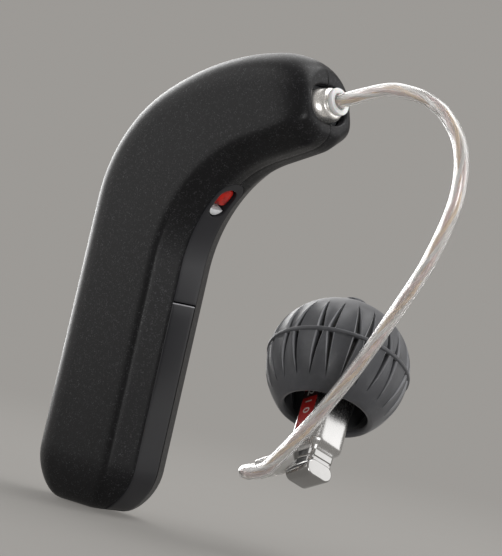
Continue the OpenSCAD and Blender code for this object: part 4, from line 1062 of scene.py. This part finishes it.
def sectorTree():
    build = Builder("grooveRound", [("Count", "NodeSocketInt", 12), ("Step", "NodeSocketFloat", 0.52),
                                    ("Join", "NodeSocketFloat", 1e-7), ("Finish", "NodeSocketMaterial", None)])
    spots = build.node("GeometryNodePoints", None, {"Count": build.given("Count")})
    turn = build.node("GeometryNodeInputIndex") * build.given("Step")
    about = build.node("ShaderNodeCombineXYZ", None, {"Z": turn})
    placedRound = build.node("GeometryNodeInstanceOnPoints", None,
                             {"Points": spots, "Instance": build.given("Geometry"), "Rotation": about})
    whole = build.node("GeometryNodeRealizeInstances", None, {"Geometry": placedRound})
    closed = build.node("GeometryNodeMergeByDistance", None,
                        {"Geometry": whole, "Distance": build.given("Join")})
    build.close(closed, build.given("Finish"))
    return build


def domeSkin():
    piece = domeSector("domeSkin")
    sectorTree().run(piece, {"Count": dome["pairs"], "Step": 2 * pi / dome["pairs"], "Join": 2e-7,
                             "Finish": materials["domeSilicone"][0]}, 50)
    outward(piece, 2e-7)
    piece.data.transform(inMetres(domePlace) @ Matrix.Rotation(radians(dome["turn"]), 4, "Z"))
    return piece


def inMetres(matrix):
    moved = matrix.copy()
    moved.translation = matrix.translation * mm
    return moved


core = {"low": 9.15, "chamber": 12.5, "rise": 0.5, "bore": 0.55, "seat": 1.19, "outer": 1.54,
        "neck": 0.95, "edge": 0.04, "wall": 0.35, "round": 0.14, "rimInner": 0.62, "rimOuter": 0.83}


def domeCore():
    low, chamber, top = core["low"] - dome["lift"], core["chamber"] - dome["lift"], dome["top"] + core["rise"]
    seat, bore, outer, neck, edge = (core[key] for key in ("seat", "bore", "outer", "neck", "edge"))
    shoulder = chamber + core["wall"]
    profile = [(seat, low), (outer - edge, low), (outer, low + edge), (outer, shoulder - 0.05),
               (outer - edge, shoulder), (neck, shoulder), (neck, top - core["round"]),
               (neck - edge, top - 0.05), (core["rimOuter"], top), (core["rimInner"], top),
               (bore + 0.01, top - edge), (bore, top - 0.1), (bore, chamber), (seat, chamber)]
    return lathe("domeCore", profile, domePlace, 72)


# Finishes: name, colour, roughness, extra detail and settings
metal = {"Metallic": 1.0}
for row in (
    ("caseLacquer", (0.0075, 0.0075, 0.0085), 0.4, lacquerFlakes,
     {"grain": 0.06, "grainDepth": 0.0006, "Specular IOR Level": 0.2}),
    # the strip's finish paints a highlight along the split line
    ("stripSatin", (0.0175, 0.0175, 0.0205), 0.38, stripPaintedSplitHighlight,
     {"grain": 0.04, "grainDepth": 0.0005, "spread": 0.05, "Specular IOR Level": 0.35}),
    ("sealRubber", (0.03, 0.03, 0.032), 0.7, siliconeBloom),
    ("pinSteel", (0.6, 0.6, 0.6), 0.25, drawnLines, metal),
    ("markerRed", (0.36, 0.014, 0.009), 0.3, redGlow,
     {"grainDepth": 0.0004, "Specular IOR Level": 0.3, "Coat Weight": 0.1, "Coat Roughness": 0.1}),
    ("guideWhite", (0.72, 0.73, 0.74), 0.3, None, {"spread": 0.06}),
    ("lampWhite", (0.85, 0.75, 0.4), 0.5, wiredLacquer),
    ("chassisNylon", (0.09, 0.095, 0.105), 0.55, drawnLines, {"grainDepth": 0.006}),
    ("boardGreen", (0.01, 0.09, 0.035), 0.35, boardTraces),
    ("chipBlack", (0.018, 0.018, 0.02), 0.55, None, {"grainDepth": 0.006}),
    ("flexAmber", (0.5, 0.2, 0.03), 0.3, drawnLines),
    ("antennaGold", (0.78, 0.55, 0.22), 0.28, drawnLines, metal),
    ("switchGrey", (0.42, 0.42, 0.42), 0.45),
    ("cellSteel", (0.5, 0.54, 0.6), 0.3, drawnLines, metal),
    ("tabNickel", (0.62, 0.6, 0.55), 0.32, drawnLines, metal),
    ("coilCopper", (0.72, 0.32, 0.14), 0.35, woundTurns, {"Metallic": 0.9}),
    ("ferriteGrey", (0.04, 0.037, 0.036), 0.65, siliconeBloom, {"grainDepth": 0.01}),
    ("microphoneGold", (0.76, 0.58, 0.28), 0.3, polishedMarks, metal),
    ("screenMesh", (0.35, 0.36, 0.38), 0.4, wovenWires, {"Metallic": 0.8}),
    ("socketGrey", (0.03, 0.032, 0.035), 0.5),
    ("contactGold", (0.82, 0.6, 0.25), 0.22, polishedMarks, metal),
    ("plugClear", (0.84, 0.82, 0.79), 0.27, clearFlow,
     {"spread": 0.05, "grainDepth": 0.0006, "Metallic": 0.65, "Coat Weight": 0.4, "Coat Roughness": 0.1}),
    ("ringWhite", (0.82, 0.82, 0.81), 0.3, None,
     {"spread": 0.03, "Subsurface Weight": 0.15, "Subsurface Scale": 0.0003}),
    ("tubeClear", (0.96, 0.955, 0.95), 0.11, clearFlow,
     {"spread": 0.02, "scratch": 0.02, "grainDepth": 0.0001, "Transmission Weight": 0.8, "IOR": 1.36,
      "Coat Weight": 1.0, "Coat Roughness": 0.14}),
    ("wireCopper", (0.95, 0.66, 0.4), 0.3, wiredLacquer, {"Metallic": 0.2}),
    ("wireRed", (0.93, 0.68, 0.66), 0.32, wiredLacquer, {"Metallic": 0.1}),
    ("wireClear", (0.97, 0.965, 0.96), 0.25, wiredLacquer, {"Metallic": 0.1}),
    ("bootClear", (0.84, 0.83, 0.81), 0.14, clearFlow,
     {"spread": 0.03, "scratch": 0.04, "grainDepth": 0.0003, "Transmission Weight": 0.5, "IOR": 1.45,
      "Coat Weight": 0.4, "Coat Roughness": 0.08}),
    ("receiverPolished", (0.52, 0.515, 0.51), 0.26, polishedMarks,
     {"spread": 0.03, "grainDepth": 0.0002, "Metallic": 1.0}),
    # end block: a darker copy of the receiver's steel, painted shade
    ("blockPolished", (0.4, 0.396, 0.39), 0.18, polishedMarks,
     {"spread": 0.03, "grainDepth": 0.0002, "Metallic": 1.0}),
    ("labelRed", (0.4, 0.016, 0.014), 0.28, labelBand, {"Coat Weight": 0.4, "Coat Roughness": 0.12}),
    ("labelInk", (0.6, 0.58, 0.56), 0.4, wiredLacquer),
    ("motorSteel", (0.5, 0.5, 0.52), 0.35, drawnLines, metal),
    ("spoutGrey", (0.42, 0.43, 0.44), 0.45),
    ("guardWhite", (0.8, 0.8, 0.79), 0.5, None, {"spread": 0.04}),
    # the dome's finish paints shade in the slot floors and a highlight on their lips
    ("domeSilicone", (0.056, 0.057, 0.063), 0.46, bloomDustAndPaintedSlotLight,
     {"grain": 0.05, "grainDepth": 0.0008, "Sheen Weight": 0.15, "Sheen Roughness": 0.5,
      "Specular IOR Level": 0.4}),
    ("coreSilicone", (0.05, 0.052, 0.06), 0.42, siliconeBloom,
     {"grain": 0.05, "grainDepth": 0.0012, "Sheen Weight": 0.15, "Sheen Roughness": 0.5})):
    makeFinish(*row)
print("stage:", len(materials), "finishes")

# CAD nodes whose shape is right only take a finish
kept = {
    "seam_seal": "sealRubber", "button_pin": "pinSteel", "status_light": "lampWhite",
    "chassis_frame": "chassisNylon", "circuit_board": "boardGreen", "processor_chip": "chipBlack",
    "radio_chip": "chipBlack", "power_chip": "chipBlack", "flex_circuit": "flexAmber",
    "antenna_band": "antennaGold", "tactile_switch": "switchGrey", "battery_cell": "cellSteel",
    "battery_tabs": "tabNickel", "charging_coil": "coilCopper", "coil_ferrite": "ferriteGrey",
    "front_microphone": "microphoneGold", "rear_microphone": "microphoneGold",
    "microphone_screens": "screenMesh", "socket_block": "socketGrey", "socket_contacts": "contactGold",
    "plug_contacts": "contactGold", "receiver_motor": "motorSteel", "sound_spout": "spoutGrey",
    "wax_guard": "guardWhite"}
for nodeName, finish in kept.items():
    dress(nodes[nodeName], finish)

dress(caseHalf("nearHalf", -1), "caseLacquer", "case", "near_shell")
dress(caseHalf("farHalf", 1), "caseLacquer", "case", "far_shell")
dress(frontStrip(), "stripSatin", "case", "front_strip")
dress(pushButton(), "stripSatin", "button", "push_button")
dress(sideMarker(), "markerRed", "case", "side_marker")
dress(lightGuide(), "guideWhite", "case", "light_guide")
print("stage: case, strip and button")

dress(plugBody(), "plugClear", "earset", "plug_body")
dress(plugRing(), "ringWhite", "earset", "plug_ring")
dress(tubeMesh("tubeSleeve"), "tubeClear", "earset", "wire_jacket")
windings = wireTree()
dress(wire("copperWire", windings, 0, "wireCopper"), "wireCopper", "earset", "copper_strand")
dress(wire("redWire", windings, 120, "wireRed"), "wireRed", "earset", "red_strand")
dress(wire("clearWire", windings, 240, "wireClear"), "wireClear", "earset", "clear_strand")
dress(bootSleeve(), "bootClear", "earset", "receiver_boot")
dress(endBlock(), "blockPolished", "earset", "receiver_end_block")
dress(housing(), "receiverPolished", "earset", "receiver_housing")
dress(labelFilm(), "labelRed", "earset", "receiver_label")
dress(labelNumbers(), "labelInk", "earset")
print("stage: plug, tube and receiver")

dress(domeSkin(), "domeSilicone", "dome", "dome_skin")
dress(domeCore(), "coreSilicone", "dome", "dome_core")
print("stage: dome")

# Camera: the photograph's viewing angle, 14 pixels to the millimetre at the target
lens = {"target": (4.362, 0, -4.721), "azimuth": 42, "roll": 12.8, "distance": 180, "length": 163.17,
        "sensor": 36, "clip": (0.005, 10)}
toward = Vector((sin(radians(lens["azimuth"])), -cos(radians(lens["azimuth"])), 0))
level = Vector((-toward.y, toward.x, 0))
roll = radians(lens["roll"])
up = Vector((0, 0, cos(roll))) - level * sin(roll)
right = Vector((0, 0, sin(roll))) + level * cos(roll)
cameraData = bpy.data.cameras.new("camera")
cameraData.lens, cameraData.sensor_fit, cameraData.sensor_height = lens["length"], "VERTICAL", lens["sensor"]
cameraData.clip_start, cameraData.clip_end = lens["clip"]
camera = placeObject("camera", cameraData)
at = (Vector(lens["target"]) + toward * lens["distance"]) * mm
camera.matrix_world = Matrix([(right[k], up[k], toward[k], at[k]) for k in range(3)] + [(0, 0, 0, 1)])
bpy.context.scene.camera = camera

# Soft studio lamps: where each stands from the object, its size and its power
target = Vector(lens["target"]) * mm
lamps = {
    "leftSoftbox": {"from": (-0.72, -0.66, 0.3), "away": 0.3, "size": (0.26, 0.4), "power": 0.42},
    "rightSoftbox": {"from": (0.74, 0.62, 0.32), "away": 0.3, "size": (0.3, 0.42), "power": 0.6},
    "rimSoftbox": {"from": (-0.78, 0.52, 0.42), "away": 0.34, "size": (0.2, 0.36), "power": 0.4},
    "topSoftbox": {"from": (0.12, 0.3, 0.95), "away": 0.3, "size": (0.26, 0.18), "power": 0.55},
    "frontCard": {"from": (0.84, -0.5, 0.05), "away": 0.5, "size": (0.18, 0.2), "power": 0.85},
    "sideStrip": {"from": (-0.93, 0.34, -0.04), "away": 0.32, "size": (0.2, 0.36), "power": 0.8}}
for lampName, lamp in lamps.items():
    data = bpy.data.lights.new(lampName, "AREA")
    data.shape, data.size, data.size_y = "RECTANGLE", lamp["size"][0], lamp["size"][1]
    data.energy = lamp["power"]
    holder = placeObject(lampName, data)
    aim = Vector(lamp["from"]).normalized()
    holder.location = target + aim * lamp["away"]
    holder.rotation_euler = aim.to_track_quat("Z", "Y").to_euler()

# Pale floor and background
stageSet = {"backdrop": (0.335, 0.322, 0.305), "floor": (0.36, 0.347, 0.33), "speck": (0.37, 0.357, 0.34),
            "ambient": 0.14, "radius": 0.16, "centre": (4.4, 3.0, -23.9), "sides": 96}


def seenDirectly(tree):
    rays = tree.nodeTree.nodes.new("ShaderNodeLightPath")
    found = [Link(tree, rays.outputs[n]) for n in ("Is Camera Ray", "Is Glossy Ray", "Is Transmission Ray")]
    return found[0].largest(found[1]).largest(found[2])


world = bpy.data.worlds.new("studio")
world.use_nodes = True
sky = Tree(world.node_tree)
shown = seenDirectly(sky)
far = sky.node("ShaderNodeBackground", None, {"Color": stageSet["backdrop"], "Strength": 1.0})
dim = sky.node("ShaderNodeBackground", None, {"Color": (1, 1, 1), "Strength": stageSet["ambient"]})
seen = sky.node("ShaderNodeMixShader", None, {0: shown, 1: dim, 2: far})
sky.node("ShaderNodeOutputWorld", None, {"Surface": seen})
bpy.context.scene.world = world

count, reach = stageSet["sides"], stageSet["radius"]
centre = Vector(stageSet["centre"]) * mm
rim = [centre + Vector((reach * cos(a), reach * sin(a), 0)) for a in turns(count)]
floor = makeMesh("floor", [centre] + rim, [(0, k + 1, (k + 1) % count + 1) for k in range(count)], 1, 0)
floorMaterial = bpy.data.materials.new("paleFloor")
floorMaterial.use_nodes = True
ground = Tree(floorMaterial.node_tree)
where = ground.vectors("DISTANCE", ground.node("ShaderNodeTexCoord", output=3), centre, 1)
fade = (where / reach).ease(0.12, 0.8)
speck = ground.mixed(ground.noise(ground.millimetres(), 6, 3), stageSet["floor"], stageSet["speck"])
matte = ground.node("ShaderNodeBsdfDiffuse", None, {"Color": speck})
glow = ground.node("ShaderNodeEmission", None, {"Color": stageSet["backdrop"], "Strength": 1.0})
blend = seenDirectly(ground) * (0.45 + fade * 0.55)
shown = ground.node("ShaderNodeMixShader", None, {0: blend, 1: matte, 2: glow})
ground.node("ShaderNodeOutputMaterial", None, {"Surface": shown})
floor.data.materials.append(floorMaterial)

scene = bpy.context.scene
scene.view_settings.view_transform = "Standard"
print("stage: camera, lamps and floor")
